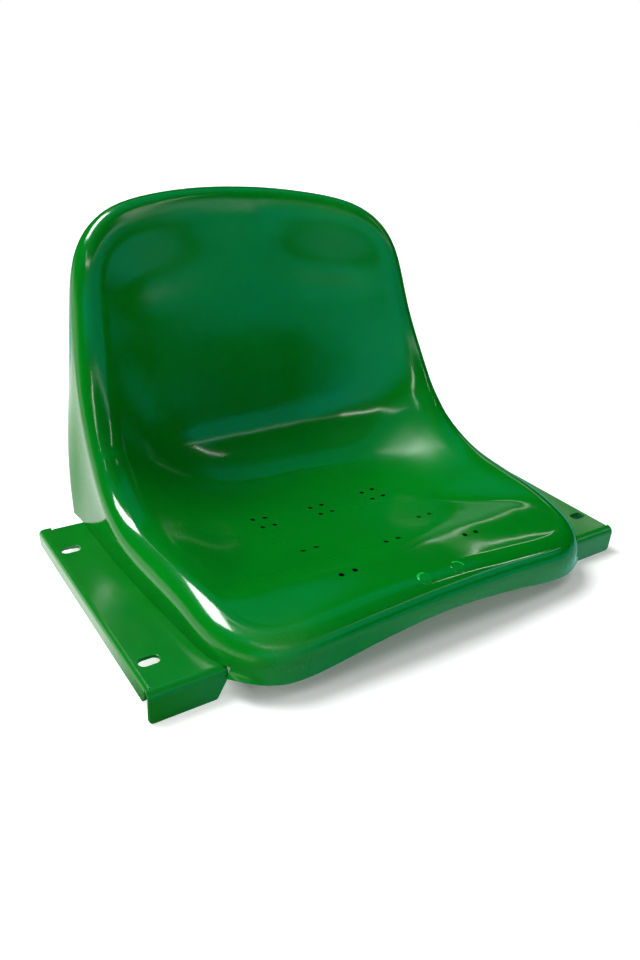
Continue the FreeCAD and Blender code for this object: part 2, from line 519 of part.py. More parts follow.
    # rounded lower outer corner of the front wall
    try:
        es=[e for e in b.Edges if abs(e.BoundBox.XMin-xo)<1e-3 and abs(e.BoundBox.XMax-xo)<1e-3 and e.BoundBox.ZMax<0.01 and e.BoundBox.YMax<t+0.01]
        b=b.makeFillet(4.0,es)
    except Exception: pass
    try:
        es=[e for e in b.Edges if e.BoundBox.YMax-e.BoundBox.YMin>2.9 and e.BoundBox.YMax<t+0.01 and abs(e.BoundBox.ZMin)<0.01 and abs(e.BoundBox.ZMax)<0.01 and e.BoundBox.XMax<FRONT_WALL_END_X+1.5 and e.BoundBox.XMax-e.BoundBox.XMin<0.01]
        b=b.makeFillet(2.5,es)
    except Exception: pass
    b=biggest(b)
    if sg<0: b=b.mirror(FreeCAD.Vector(0,0,0),FreeCAD.Vector(1,0,0))
    return b

def insert(x,y):
    b=cyl(x,y,BRACKET_TOP_Z+NOTCH_CLEAR,INSERT_D/2,INSERT_LENGTH)
    b=b.cut(cyl(x,y,BRACKET_TOP_Z-1,SCREW_D/2,INSERT_LENGTH+4))
    groove=cyl(x,y,BRACKET_TOP_Z+5.5,INSERT_D/2+1,1.4).cut(cyl(x,y,BRACKET_TOP_Z+5.5,INSERT_D/2-0.5,1.4))
    return biggest(b.cut(groove))
def washer(x,y):
    z=BRACKET_TOP_Z-BRACKET_GAUGE-WASHER_T
    return cyl(x,y,z,WASHER_D/2,WASHER_T).cut(cyl(x,y,z-1,SCREW_D/2+0.2,WASHER_T+2))
def screw(x,y):
    z=BRACKET_TOP_Z-BRACKET_GAUGE-WASHER_T
    head=cyl(x,y,z-SCREW_HEAD_H,SCREW_HEAD_D/2,SCREW_HEAD_H)
    es=[e for e in head.Edges if abs(e.BoundBox.ZMax-(z-SCREW_HEAD_H))<0.01 and e.Length>5]
    head=head.makeFillet(1.8,es)
    hexa=Part.Face(Part.makePolygon([FreeCAD.Vector(x+2.31*math.cos(math.radians(60*k)),y+2.31*math.sin(math.radians(60*k)),z-SCREW_HEAD_H-0.1) for k in range(7)])).extrude(FreeCAD.Vector(0,0,2.2))
    head=head.cut(hexa)
    shank=cyl(x,y,z-0.5,SCREW_D/2-0.05,SCREW_LENGTH-0.5)
    tip=Part.makeCone(SCREW_D/2-0.05,SCREW_D/2-0.85,0.8,FreeCAD.Vector(x,y,z-1.0+SCREW_LENGTH),FreeCAD.Vector(0,0,1))
    return biggest(head.fuse([shank,tip]).removeSplitter())

nodes={'seat_shell':[shell]}
nodes['left_side_bracket']=[bracket(-1)]
nodes['right_side_bracket']=[bracket(1)]
for nm,sg in (('left',-1),('right',1)):
    nodes[nm+'_boss_inserts']=[insert(sg*BOSS_X,y) for y in BOSS_Y]
    nodes[nm+'_bracket_washers']=[washer(sg*BOSS_X,y) for y in BOSS_Y]
    nodes[nm+'_bracket_screws']=[screw(sg*BOSS_X,y) for y in BOSS_Y]
nodes['left_nose_plug']=[plugs[0]]
nodes['right_nose_plug']=[plugs[1]]

os.makedirs("parts", exist_ok=True)
lo=[1e9]*3; hi=[-1e9]*3
for name,solids in nodes.items():
    moved=[]
    for s in solids:
        s=s.copy(); s.translate(FreeCAD.Vector(0,ORIGIN_SHIFT_Y,0)); moved.append(s)
    shape=moved[0] if len(moved)==1 else Part.makeCompound(moved)
    bb=shape.BoundBox
    for i,(a,b) in enumerate(((bb.XMin,bb.XMax),(bb.YMin,bb.YMax),(bb.ZMin,bb.ZMax))):
        lo[i]=min(lo[i],a); hi[i]=max(hi[i],b)
    print(name,'solids',len(shape.Solids),'valid',shape.isValid(),'volume mm3',round(shape.Volume,1),
          'x %.1f..%.1f y %.1f..%.1f z %.1f..%.1f'%(bb.XMin,bb.XMax,bb.YMin,bb.YMax,bb.ZMin,bb.ZMax))
    shape.exportStep('parts/%s.step'%name)
print('overall x %.2f..%.2f y %.2f..%.2f z %.2f..%.2f'%(lo[0],hi[0],lo[1],hi[1],lo[2],hi[2]))
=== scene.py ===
import bpy, bmesh, math
import numpy as np
from mathutils import Vector, Matrix
from mathutils.bvhtree import BVHTree
from mathutils.geometry import delaunay_2d_cdt


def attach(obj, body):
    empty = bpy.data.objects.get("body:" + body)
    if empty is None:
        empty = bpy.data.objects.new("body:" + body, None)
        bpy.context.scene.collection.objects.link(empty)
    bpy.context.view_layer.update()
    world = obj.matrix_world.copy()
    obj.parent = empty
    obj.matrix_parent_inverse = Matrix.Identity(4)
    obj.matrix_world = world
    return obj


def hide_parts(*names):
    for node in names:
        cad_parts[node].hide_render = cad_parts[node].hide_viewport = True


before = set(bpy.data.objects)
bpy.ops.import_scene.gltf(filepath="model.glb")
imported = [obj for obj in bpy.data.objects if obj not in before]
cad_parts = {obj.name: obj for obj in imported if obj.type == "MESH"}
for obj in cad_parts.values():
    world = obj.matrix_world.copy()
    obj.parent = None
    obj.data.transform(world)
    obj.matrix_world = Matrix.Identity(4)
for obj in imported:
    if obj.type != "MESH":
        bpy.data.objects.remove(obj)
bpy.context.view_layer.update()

# ------------------------------------------------------------------ units
# shapes are worked out in millimetres with Y = 0 at the front face of the brackets
SHIFT_Y = -176.1
def to_m(P):
    P = np.asarray(P, float)
    return (P + np.array([0.0, SHIFT_Y, 0.0])) * 0.001

# ------------------------------------------------------------------ camera
CAM_AZ, CAM_EL, CAM_ROLL = math.radians(-36.2225), math.radians(26.8185), math.radians(4.7866)
CAM_F = 794.48                      # focal length in pixels of a 640 x 960 frame
CAM_AT = (-408.98, -393.27, 409.16)
d = Vector((-math.sin(CAM_AZ) * math.cos(CAM_EL), math.cos(CAM_AZ) * math.cos(CAM_EL), -math.sin(CAM_EL)))
rt = Vector((math.cos(CAM_AZ), math.sin(CAM_AZ), 0.0))
up = rt.cross(d)
Rv = math.cos(CAM_ROLL) * rt + math.sin(CAM_ROLL) * up
Uv = -math.sin(CAM_ROLL) * rt + math.cos(CAM_ROLL) * up
cam_data = bpy.data.cameras.new("camera")
cam = bpy.data.objects.new("camera", cam_data)
bpy.context.scene.collection.objects.link(cam)
cam.matrix_world = Matrix(((Rv.x, Uv.x, -d.x, CAM_AT[0] * 0.001),
                           (Rv.y, Uv.y, -d.y, (CAM_AT[1] + SHIFT_Y) * 0.001),
                           (Rv.z, Uv.z, -d.z, CAM_AT[2] * 0.001),
                           (0, 0, 0, 1)))
cam_data.sensor_width = 36.0
cam_data.lens = CAM_F / 960.0 * 36.0
cam_data.shift_x = -0.5 / 960.0
cam_data.shift_y = 0.5 / 960.0
cam_data.clip_start, cam_data.clip_end = 0.01, 100.0
bpy.context.scene.camera = cam

# ------------------------------------------------------------------ shape tables (mm)
# centre line of the dish (y,z), front to top
BASE=[(-78,67),(-48,64.5),(-20,62.5),(8,61.5),(36,57.5),(64,50.5),(92,43),(120,36.5),(148,31),(176,27.5),(203,26.5),(228,30),
      (250,38.5),(268,52),(281,69),(290,90),(297.5,115),(305,142),(313.5,170),(322,198),(331,226),(340,254),(349.5,282),(360,311),(371,340),(382,369)]
# loop stations, nose centre -> top centre (right half): rim tube centre x,y,z, tube radius, free edge x,y,z, slope length, crest length of wall tangent
#        RCx   RCy   RCz   rho   Ex    Ey    Ez    Ls   band
ST=[(0, -7, 36.8, 22, 0, -29, 31.4, 60, 0),
    (42, -7, 36.2, 22, 42, -29.3, 29, 60, 0),
    (84, -6.5, 33.6, 21.5, 84, -30, 24.9, 62, 0),
    (124, -7, 31, 21, 124, -29, 16.6, 62, 0),
    (156.5, -5, 27.8, 22.8, 162, -26, 12.8, 64, 0),
    (172, 13.5, 28.5, 24, 192.5, -10, 24.3, 70, 0.3),
    (177, 38.5, 34.2, 23, 198, 30, 0, 82, 0.7),
    (181, 66, 39.2, 20.5, 203, 62, 0, 95, 1),
    (184, 97, 40.2, 20.2, 207, 97, 0, 105, 1),
    (187, 128, 40.6, 19.6, 210.5, 133, 0, 108, 1),
    (189.8, 158, 44.3, 18.2, 212.5, 170, 0, 110, 1),
    (190.6, 184.8, 54.2, 17, 214, 206, 0, 112, 1),
    (190, 208.3, 66.4, 16, 215, 238, 0, 112, 1),
    (189.4, 230.1, 83.8, 14.5, 212.6, 258.5, 6, 112, 1),
    (190, 248.3, 106.3, 12.5, 211.8, 270.3, 52, 112, 1),
    (188.3, 263.6, 129, 12.5, 207, 284.4, 91.8, 112, 1),
    (184.9, 277.7, 153, 12.5, 199.6, 295.7, 127.9, 112, 1),
    (180.9, 290.6, 179, 12.5, 192.8, 306.4, 162, 112, 1),
    (177.2, 301, 207, 12.5, 187.5, 317.2, 193, 110, 1),
    (173.2, 310.3, 234.6, 12.5, 181.6, 327.5, 222.1, 105, 1),
    (161.9, 320.7, 260.9, 12.5, 173.4, 335.7, 250.9, 100, 1),
    (136.4, 334, 278.9, 12.5, 144.4, 350.5, 274.9, 92, 1),
    (101.6, 347.6, 285.4, 12.5, 106.6, 365.1, 284.9, 84, 1),
    (68.6, 356.8, 288.8, 12.5, 70.6, 374.8, 289.8, 78, 1),
    (34.4, 363.5, 290.9, 12.5, 35.4, 381, 292.6, 74, 1),
    (0, 365.8, 291.2, 12.5, 0, 383.3, 293.2, 72, 1)]

# ------------------------------------------------------------------ seat surface
def bs_w(f):
    g = 1 - f
    return np.stack([g**3 / 6, (3 * f**3 - 6 * f**2 + 4) / 6, (3 * g**3 - 6 * g**2 + 4) / 6, f**3 / 6], -1)
_B = np.array(BASE, float)
_Bx = np.vstack([2 * _B[0] - _B[1], _B, 2 * _B[-1] - _B[-2]])
def base_pt(t):
    t = np.clip(t, 0, len(_B) - 1.0)
    i = np.minimum(t.astype(int), len(_B) - 2)
    w = bs_w(t - i)
    return sum(w[..., k:k + 1] * _Bx[i + k] for k in range(4))
_T = np.linspace(0, len(_B) - 1.0, 9001)
_P = base_pt(_T)
_Sl = np.concatenate([[0], np.cumsum(np.hypot(*np.diff(_P, axis=0).T))])
_dT = base_pt(_T + 1e-3) - base_pt(_T - 1e-3)
_dT /= np.linalg.norm(_dT, axis=1)[:, None]          # tangent (y,z)
def base_l(l):
    """position, tangent of the dish's centre line at length l"""
    return (np.interp(l, _Sl, _P[:, 0]), np.interp(l, _Sl, _P[:, 1]),
            np.interp(l, _Sl, _dT[:, 0]), np.interp(l, _Sl, _dT[:, 1]))
def lift(x, l, h):
    y, z, ty, tz = base_l(l)
    n = np.hypot(ty, tz); ty, tz = ty / n, tz / n
    x, y, z = np.broadcast_arrays(x, y - tz * h, z + ty * h)
    return np.stack([x, y, z], -1)
def drop(y, z):
    y, z = np.atleast_1d(np.asarray(y, float)), np.atleast_1d(np.asarray(z, float))
    Q = _P[::6]
    i = np.argmin((Q[None, :, 0] - y[:, None])**2 + (Q[None, :, 1] - z[:, None])**2, axis=1) * 6
    l = _Sl[i].copy()
    for _ in range(14):
        by, bz, ty, tz = base_l(l)
        l += 0.9 * ((y - by) * ty + (z - bz) * tz)
    by, bz, ty, tz = base_l(l)
    return l, (y - by) * -tz + (z - bz) * ty
_ST = np.array(ST, float)
_mir = _ST[-2:0:-1].copy(); _mir[:, 0] *= -1; _mir[:, 4] *= -1
LOOP = np.vstack([_ST, _mir]); NL = len(LOOP)
def loop_at(s):
    s = np.asarray(s, float); i = np.floor(s).astype(int); w = bs_w(s - i)
    return sum(w[..., k:k + 1] * LOOP[(i - 1 + k) % NL] for k in range(4))
CEN_L = drop(165.0, 29.0)[0][0]
BAND_H, BAND_W = 0.35, 24.0
def sstep(a, b, x):
    t = np.clip((x - a) / (b - a), 0, 1)
    return t * t * t * (t * (6 * t - 15) + 10)
def Gf(t):
    return np.where(t < 1, np.maximum(1 - t * t, 0)**2.6, 0.0)
class Ring:
    """all of the loop's quantities at positions s"""
    def __init__(self, s):
        s = np.asarray(s, float); r = loop_at(s)
        self.x, self.rho, self.Ls, self.band = r[:, 0], r[:, 3], r[:, 7], r[:, 8]
        self.E = r[:, 4:7]
        self.l, self.h = drop(r[:, 1], r[:, 2])
        e = 0.02
        a, b = loop_at(s - e), loop_at(s + e)
        la, lb = drop(a[:, 1], a[:, 2])[0], drop(b[:, 1], b[:, 2])[0]
        dx, dl = b[:, 0] - a[:, 0], lb - la
        L = np.hypot(dx, dl)
        self.nx, self.nl = dl / L, -dx / L
_rt = Ring(np.linspace(0, NL / 2, 6001))
_ang = np.arctan2(_rt.x, -(_rt.l - CEN_L)); _ang[0] = 0.0; _ang[-1] = math.pi
# the nose is arched from side to side; the arch fades out into the pan
ARCH, ARCH_C = 0.095, 60.0
ARCH_Y = (drop(-8.0, 62.0)[0][0], drop(58.0, 52.0)[0][0])
def arch(x, l):
    return ARCH * (np.sqrt(np.square(x) + ARCH_C**2) - ARCH_C) * (1 - sstep(ARCH_Y[0], ARCH_Y[1], l))
_rad = np.hypot(_rt.x, _rt.l - CEN_L); _hc = _rt.h + _rt.rho + arch(_rt.x, _rt.l); _bd = BAND_H * _rt.band
# crest line of the side rims by length along the dish: half width and height
SIDE_A, SIDE_B = 5.5, 21.0
_sd = Ring(np.linspace(SIDE_A, SIDE_B, 1500))
_sl, _sx, _sh, _sb = _sd.l, _sd.x, _sd.h + _sd.rho, BAND_H * _sd.band
BOWL_M, BOWL_FLAT, BOWL_SOFT = 2.9, 12.0, 5.0
BOWL_W = (drop(62.0, 50.0)[0][0], drop(214.0, 28.0)[0][0], drop(318.0, 185.0)[0][0], drop(343.0, 262.0)[0][0])
def height(x, l):
    """height of the dish above its centre line's sweep"""
    x, l = np.broadcast_arrays(np.abs(x), l)
    dl = l - CEN_L
    q = np.hypot(x, dl); a = np.arctan2(x, -dl)
    D, hc, Ls, b = (np.interp(a, _ang, v) for v in (_rad, _hc, _rt.Ls, _bd))
    qq = np.maximum(D - q, 0)
    h1 = (hc - b) * Gf(qq / Ls) + b * (1 - sstep(BAND_W * 0.55, BAND_W * 1.25, qq)) - arch(x, l)
    # side to side bowl
    X, H, B = (np.interp(l, _sl, v) for v in (_sx, _sh, _sb))
    u = np.maximum(X - x, 0)
    e = BOWL_SOFT * (np.log1p(np.exp((u - BOWL_FLAT) / BOWL_SOFT)) - math.log1p(math.exp(-BOWL_FLAT / BOWL_SOFT)))
    t = 1 - e / (X - BOWL_FLAT)
    h2 = (H - B) * np.maximum(t, 0)**BOWL_M + B * (1 - sstep(BAND_W * 0.55, BAND_W * 1.25, u))
    w = sstep(BOWL_W[0], BOWL_W[1], l) * (1 - sstep(BOWL_W[2], BOWL_W[3], l))
    return h1 * (1 - w) + h2 * w
def dish(x, l): return lift(x, l, height(x, l))
def unit(v): return v / np.maximum(np.linalg.norm(v, axis=-1, keepdims=True), 1e-12)
def dish_normal(x, l, e=0.35):
    return unit(np.cross(dish(x + e, l) - dish(x - e, l), dish(x, l + e) - dish(x, l - e)))
def rimpt(R, w):
    """R: Ring at s, w 0..1 round the tube, 1..2 down the wall to the free edge"""
    if w <= 1:
        a = math.radians(90 * w)
        return lift(R.x + R.nx * R.rho * math.sin(a), R.l + R.nl * R.rho * math.sin(a), R.h + R.rho * math.cos(a))
    T = lift(R.x + R.nx * R.rho, R.l + R.nl * R.rho, R.h)
    y, z, ty, tz = base_l(R.l + R.nl * R.rho)
    L = np.linalg.norm(R.E - T, axis=1)[:, None]
    m0 = np.stack([np.zeros_like(ty), tz, -ty], -1) * L; m1 = R.E - T; t = w - 1
    h00, h10, h01, h11 = 2*t**3 - 3*t**2 + 1, t**3 - 2*t**2 + t, -2*t**3 + 3*t**2, t**3 - t**2
    return h00 * T + h10 * m0 + h01 * R.E + h11 * m1
def rim_normal(Ra, Rb, R, w):
    w0, w1 = w - 0.02, w + 0.02
    if w < 0.02: w0, w1 = 0.0, 0.04
    if w > 1.98: w0, w1 = 1.96, 2.0
    return unit(np.cross(rimpt(R, w1) - rimpt(R, w0), rimpt(Rb, w) - rimpt(Ra, w)))
THICK = 4.2
EDGE_R = 1.1
def shell_grid(ns):
    """closed grid of the seat shell: rows of (points, normals), two poles"""
    s = np.arange(ns) * NL / ns
    R, Ra, Rb = Ring(s), Ring(s - 0.02), Ring(s + 0.02)
    D = np.hypot(R.x, R.l - CEN_L)
    # ring spacing: fine near the rim, coarse in the middle
    def rads(n, p): return [(k / n)**p for k in range(1, n + 1)]
    rows, nrm = [], []
    top_r = rads(84, 0.72)
    for r in top_r[:-1]:
        x, l = R.x * r, CEN_L + (R.l - CEN_L) * r
        rows.append(dish(x, l)); nrm.append(dish_normal(x, l))
    for w in [k / 14 for k in range(0, 15)] + [1 + k / 18 for k in range(1, 18)]:
        rows.append(rimpt(R, w)); nrm.append(rim_normal(Ra, Rb, R, w))
    n_top = len(rows)
    E = R.E; nE = rim_normal(Ra, Rb, R, 2.0); tE = unit(E - rimpt(R, 1.97))
    r = EDGE_R
    for k in range(0, 5):
        a = math.radians(90 * k / 4)
        rows.append(E - tE * r * (1 - math.sin(a)) - nE * r * (1 - math.cos(a))); nrm.append(unit(nE * math.cos(a) + tE * math.sin(a)))
    for k in range(0, 5):
        a = math.radians(90 * k / 4)
        rows.append(E - tE * r * (1 - math.cos(a)) - nE * (THICK - r + r * math.sin(a))); nrm.append(unit(tE * math.cos(a) - nE * math.sin(a)))
    for w in [1 + k / 10 for k in range(9, 0, -1)] + [k / 8 for k in range(8, -1, -1)]:
        n = rim_normal(Ra, Rb, R, w); rows.append(rimpt(R, w) - n * THICK); nrm.append(-n)
    for r in rads(44, 0.8)[:-1][::-1]:
        x, l = R.x * r, CEN_L + (R.l - CEN_L) * r
        n = dish_normal(x, l); rows.append(dish(x, l) - n * THICK); nrm.append(-n)
    pt = dish(np.array([0.0]), np.array([CEN_L]))[0]; pn = dish_normal(np.array([0.0]), np.array([CEN_L]))[0]
    return rows, nrm, pt, pn
def shell_arrays(ns=480):
    rows, nrm, pt, pn = shell_grid(ns)
    V = [pt[None]] + rows + [(pt - pn * THICK)[None]]; N = [pn[None]] + nrm + [-pn[None]]
    V, N = np.concatenate(V), np.concatenate(N)
    m = len(rows); F = []
    i = np.arange(ns); j = (i + 1) % ns
    F += [(0, 1 + a, 1 + b) for a, b in zip(i, j)]
    for k in range(m - 1):
        o, p = 1 + k * ns, 1 + (k + 1) * ns
        F += list(zip((o + i).tolist(), (p + i).tolist(), (p + j).tolist(), (o + j).tolist()))
    o = 1 + (m - 1) * ns; last = 1 + m * ns
    F += [(int(o + a), int(last), int(o + b)) for a, b in zip(i, j)]
    return V, N, F

# ------------------------------------------------------------------ mesh helpers
def new_object(name, V, F, N=None):
    me = bpy.data.meshes.new(name)
    me.from_pydata([tuple(p) for p in to_m(V)], [], [tuple(int(a) for a in f) for f in F])
    me.update()
    for p in me.polygons: p.use_smooth = True
    if N is not None: me.normals_split_custom_set_from_vertices([tuple(n) for n in N])
    ob = bpy.data.objects.new(name, me)
    bpy.context.scene.collection.objects.link(ob)
    return ob
def volume(V, F):
    V = np.asarray(V); v = 0.0
    for f in F:
        for k in range(1, len(f) - 1):
            v += np.dot(V[f[0]], np.cross(V[f[k]], V[f[k + 1]]))
    return v / 6
def cylinder(p, n, radii, heights, seg=32):
    """closed lathe along n through p: rings of given radii at given heights"""
    n = np.array(n, float); n /= np.linalg.norm(n)
    a = np.cross(n, [1.0, 0, 0]);
    if np.linalg.norm(a) < 0.1: a = np.cross(n, [0, 1.0, 0])
    a /= np.linalg.norm(a); b = np.cross(n, a)
    V, F = [], []
    for r, h in zip(radii, heights):
        for k in range(seg):
            t = 2 * math.pi * k / seg
            V.append(np.array(p) + n * h + r * (a * math.cos(t) + b * math.sin(t)))
    m = len(radii)
    for j in range(m - 1):
        for k in range(seg):
            F.append((j * seg + k, j * seg + (k + 1) % seg, (j + 1) * seg + (k + 1) % seg, (j + 1) * seg + k))
    F.append(tuple(range(seg - 1, -1, -1))); F.append(tuple((m - 1) * seg + k for k in range(seg)))
    return V, F
def block(x0, x1, y0, y1, z0, z1):
    V = [(x, y, z) for z in (z0, z1) for y in (y0, y1) for x in (x0, x1)]
    F = [(0, 2, 3, 1), (4, 5, 7, 6), (0, 1, 5, 4), (2, 6, 7, 3), (0, 4, 6, 2), (1, 3, 7, 5)]
    return [np.array(v, float) for v in V], F
def merge(parts):
    V, F = [], []
    for v, f in parts:
        o = len(V); V += list(v); F += [tuple(a + o for a in g) for g in f]
    return V, F
def boolean(ob, parts, op):
    V, F = merge(parts)
    cut = new_object("cutter", V, F)
    m = ob.modifiers.new("b", "BOOLEAN"); m.operation = op; m.object = cut; m.solver = "MANIFOLD"
    dg = bpy.context.evaluated_depsgraph_get()
    me = bpy.data.meshes.new_from_object(ob.evaluated_get(dg))
    ob.modifiers.clear(); old = ob.data; ob.data = me
    bpy.data.meshes.remove(old); cme = cut.data; bpy.data.objects.remove(cut); bpy.data.meshes.remove(cme)
    return ob

# ------------------------------------------------------------------ seat shell
V0, N0, F0 = shell_arrays(480)
if volume(V0, F0) < 0: F0 = [tuple(reversed(f)) for f in F0]
shell = new_object("shell_piece", V0, F0)
# reference surface for clean normals after the cuts
T0 = []
for f in F0:
    for k in range(1, len(f) - 1): T0.append((f[0], f[k], f[k + 1]))
T0 = np.array(T0); V0 = np.array(V0)
ref = BVHTree.FromPolygons([tuple(p) for p in V0], [tuple(int(a) for a in t) for t in T0])
def on_ref(P):
    """nearest point of the uncut surface: distance and smooth normal"""
    idx = np.empty(len(P), int); loc = np.empty((len(P), 3)); dist = np.empty(len(P))
    for i, p in enumerate(P):
        co, no, k, ds = ref.find_nearest(Vector(p))
        idx[i] = k; loc[i] = co; dist[i] = ds
    A, B, C = V0[T0[idx, 0]], V0[T0[idx, 1]], V0[T0[idx, 2]]
    v0, v1, v2 = B - A, C - A, loc - A
    d00, d01, d11 = (v0 * v0).sum(1), (v0 * v1).sum(1), (v1 * v1).sum(1)
    d20, d21 = (v2 * v0).sum(1), (v2 * v1).sum(1)
    den = np.maximum(d00 * d11 - d01 * d01, 1e-12)
    b = np.clip((d11 * d20 - d01 * d21) / den, 0, 1); c = np.clip((d00 * d21 - d01 * d20) / den, 0, 1)
    n = N0[T0[idx, 0]] * (1 - b - c)[:, None] + N0[T0[idx, 1]] * b[:, None] + N0[T0[idx, 2]] * c[:, None]
    return dist, unit(n)
def top_point(x, y):
    """dish surface point and normal below (x, y)"""
    co, no, k, ds = ref.ray_cast(Vector((x, y, 500.0)), Vector((0, 0, -1)))
    dd, n = on_ref([co])
    return np.array(co), n[0]

PLATE_Z = 26.5
cuts = []
for sg in (-1, 1):
    xa, xb = sorted((sg * 150.0, sg * 262.0))
    cuts.append(block(xa, xb, -1.2, 297.0, -8.0, PLATE_Z + 0.25))
shell = boolean(shell, cuts, "DIFFERENCE")

# screw bosses: their tops end inside the shell's wall
BOSS_X, BOSS_Y, BOSS_R = 176.0, (42.0, 124.0, 206.0), 8.5
bosses = []
for sg in (-1, 1):
    for y0 in BOSS_Y:
        V, F = [], []; seg = 48; rr = [0.0, 0.35, 0.7, 1.0]
        def mid(x, y):
            p, n = top_point(x, y); return p[2] - 0.5 * THICK / max(n[2], 0.35)
        c = len(V); V.append((sg * BOSS_X, y0, mid(sg * BOSS_X, y0)))
        for r in rr[1:]:
            for k in range(seg):
                t = 2 * math.pi * k / seg; x, y = sg * BOSS_X + BOSS_R * r * math.cos(t), y0 + BOSS_R * r * math.sin(t)
                V.append((x, y, mid(x, y)))
        for k in range(seg):
            t = 2 * math.pi * k / seg
            V.append((sg * BOSS_X + BOSS_R * math.cos(t), y0 + BOSS_R * math.sin(t), PLATE_Z + 0.25))
        for k in range(seg):
            k2 = (k + 1) % seg
            F.append((0, 1 + k, 1 + k2))
            for j in range(3): F.append((1 + j * seg + k, 1 + (j + 1) * seg + k, 1 + (j + 1) * seg + k2, 1 + j * seg + k2))
        F.append(tuple(1 + 3 * seg + k for k in range(seg - 1, -1, -1)))
        bosses.append(([np.array(v) for v in V], F))
shell = boolean(shell, bosses, "UNION")

cuts = []
for sg in (-1, 1):
    for y0 in BOSS_Y:
        cuts.append(cylinder((sg * BOSS_X, y0, PLATE_Z - 1), (0, 0, 1), [4.0, 4.0, 3.4, 3.4], [0, 13.0, 13.0, 16.0], 32))
# drain holes with a slightly eased mouth
DRAIN = []
for cx, cy in ((-64.7, 161.4), (0.0, 160.0), (64.7, 161.4)):
    DRAIN += [(cx + a, cy + b) for a in (-6.7, 6.7) for b in (-9.2, 9.2)]
for cx, cy in ((-65.5, 83.0), (65.5, 83.0), (0.0, 51.7), (-67.6, 24.5), (67.6, 24.5)):
    DRAIN += [(cx + a, cy) for a in (-6.7, 6.7)]
DRAIN_AXES = []
for x, y in DRAIN:
    p, n = top_point(x, y); DRAIN_AXES.append((p, n))
    cuts.append(cylinder(p, n, [2.1, 2.1, 2.45, 3.1], [-9.0, -0.35, 0.0, 0.65], 28))
# plug seats on the crown of the front rim
PLUG_X, PLUG_TILT, PLUG_R = 18.0, 18.0, 7.0
Rp = Ring(np.array([0.4]))
rc = lift(np.array([0.0]), Rp.l, Rp.h)[0]
_, _, ty, tz = base_l(Rp.l); a = math.radians(PLUG_TILT)
ny, nz = -tz[0], ty[0]
PLUG_N = np.array([0.0, ny * math.cos(a) - nz * math.sin(a), nz * math.cos(a) + ny * math.sin(a)])
PLUG_P = rc + PLUG_N * Rp.rho[0]
for sg in (-1, 1):
    p = PLUG_P * np.array([0, 1, 1]) + np.array([sg * PLUG_X, 0, 0])
    cuts.append(cylinder(p, PLUG_N, [PLUG_R, PLUG_R], [-9.0, 7.0], 64))
shell = boolean(shell, cuts, "DIFFERENCE")

def clean_normals(ob):
    """smooth, exact normals on the moulded surface; plain ones on cut faces"""
    me = ob.data
    nv = len(me.vertices); co = np.empty(nv * 3); me.vertices.foreach_get("co", co)
    P = co.reshape(-1, 3) / 0.001 - np.array([0.0, SHIFT_Y, 0.0])
    dist, n = on_ref(P)
    nf = len(me.polygons); fn = np.empty(nf * 3); me.polygons.foreach_get("normal", fn); fn = fn.reshape(-1, 3)
    ls = np.empty(nf, int); lt = np.empty(nf, int)
    me.polygons.foreach_get("loop_start", ls); me.polygons.foreach_get("loop_total", lt)
    lv = np.empty(len(me.loops), int); me.loops.foreach_get("vertex_index", lv)
    lf = np.repeat(np.arange(nf), lt)
    good = (dist[lv] < 0.06) & ((n[lv] * fn[lf]).sum(1) > 0.75)
    out = np.where(good[:, None], n[lv], fn[lf])
    for p in me.polygons: p.use_smooth = True
    me.normals_split_custom_set([tuple(v) for v in out])
    return good.mean()
share = clean_normals(shell)
def painted_hole_shade(ob):
    """painted shade inside the drain holes, as a vertex value"""
    me = ob.data; nv = len(me.vertices); co = np.empty(nv * 3); me.vertices.foreach_get("co", co)
    P = co.reshape(-1, 3) / 0.001 - np.array([0.0, SHIFT_Y, 0.0]); w = np.zeros(nv)
    for p, n in DRAIN_AXES:
        d = P - p; h = d @ n; r = np.linalg.norm(d - h[:, None] * n, axis=1)
        w[(r < 2.3) & (h < -0.2) & (h > -9.5)] = 1.0
    me.attributes.new("painted_hole_shade", "FLOAT", "POINT").data.foreach_set("value", w.astype(np.float32))
painted_hole_shade(shell)
print("shell faces", len(shell.data.polygons), "smooth corners", round(float(share), 4))

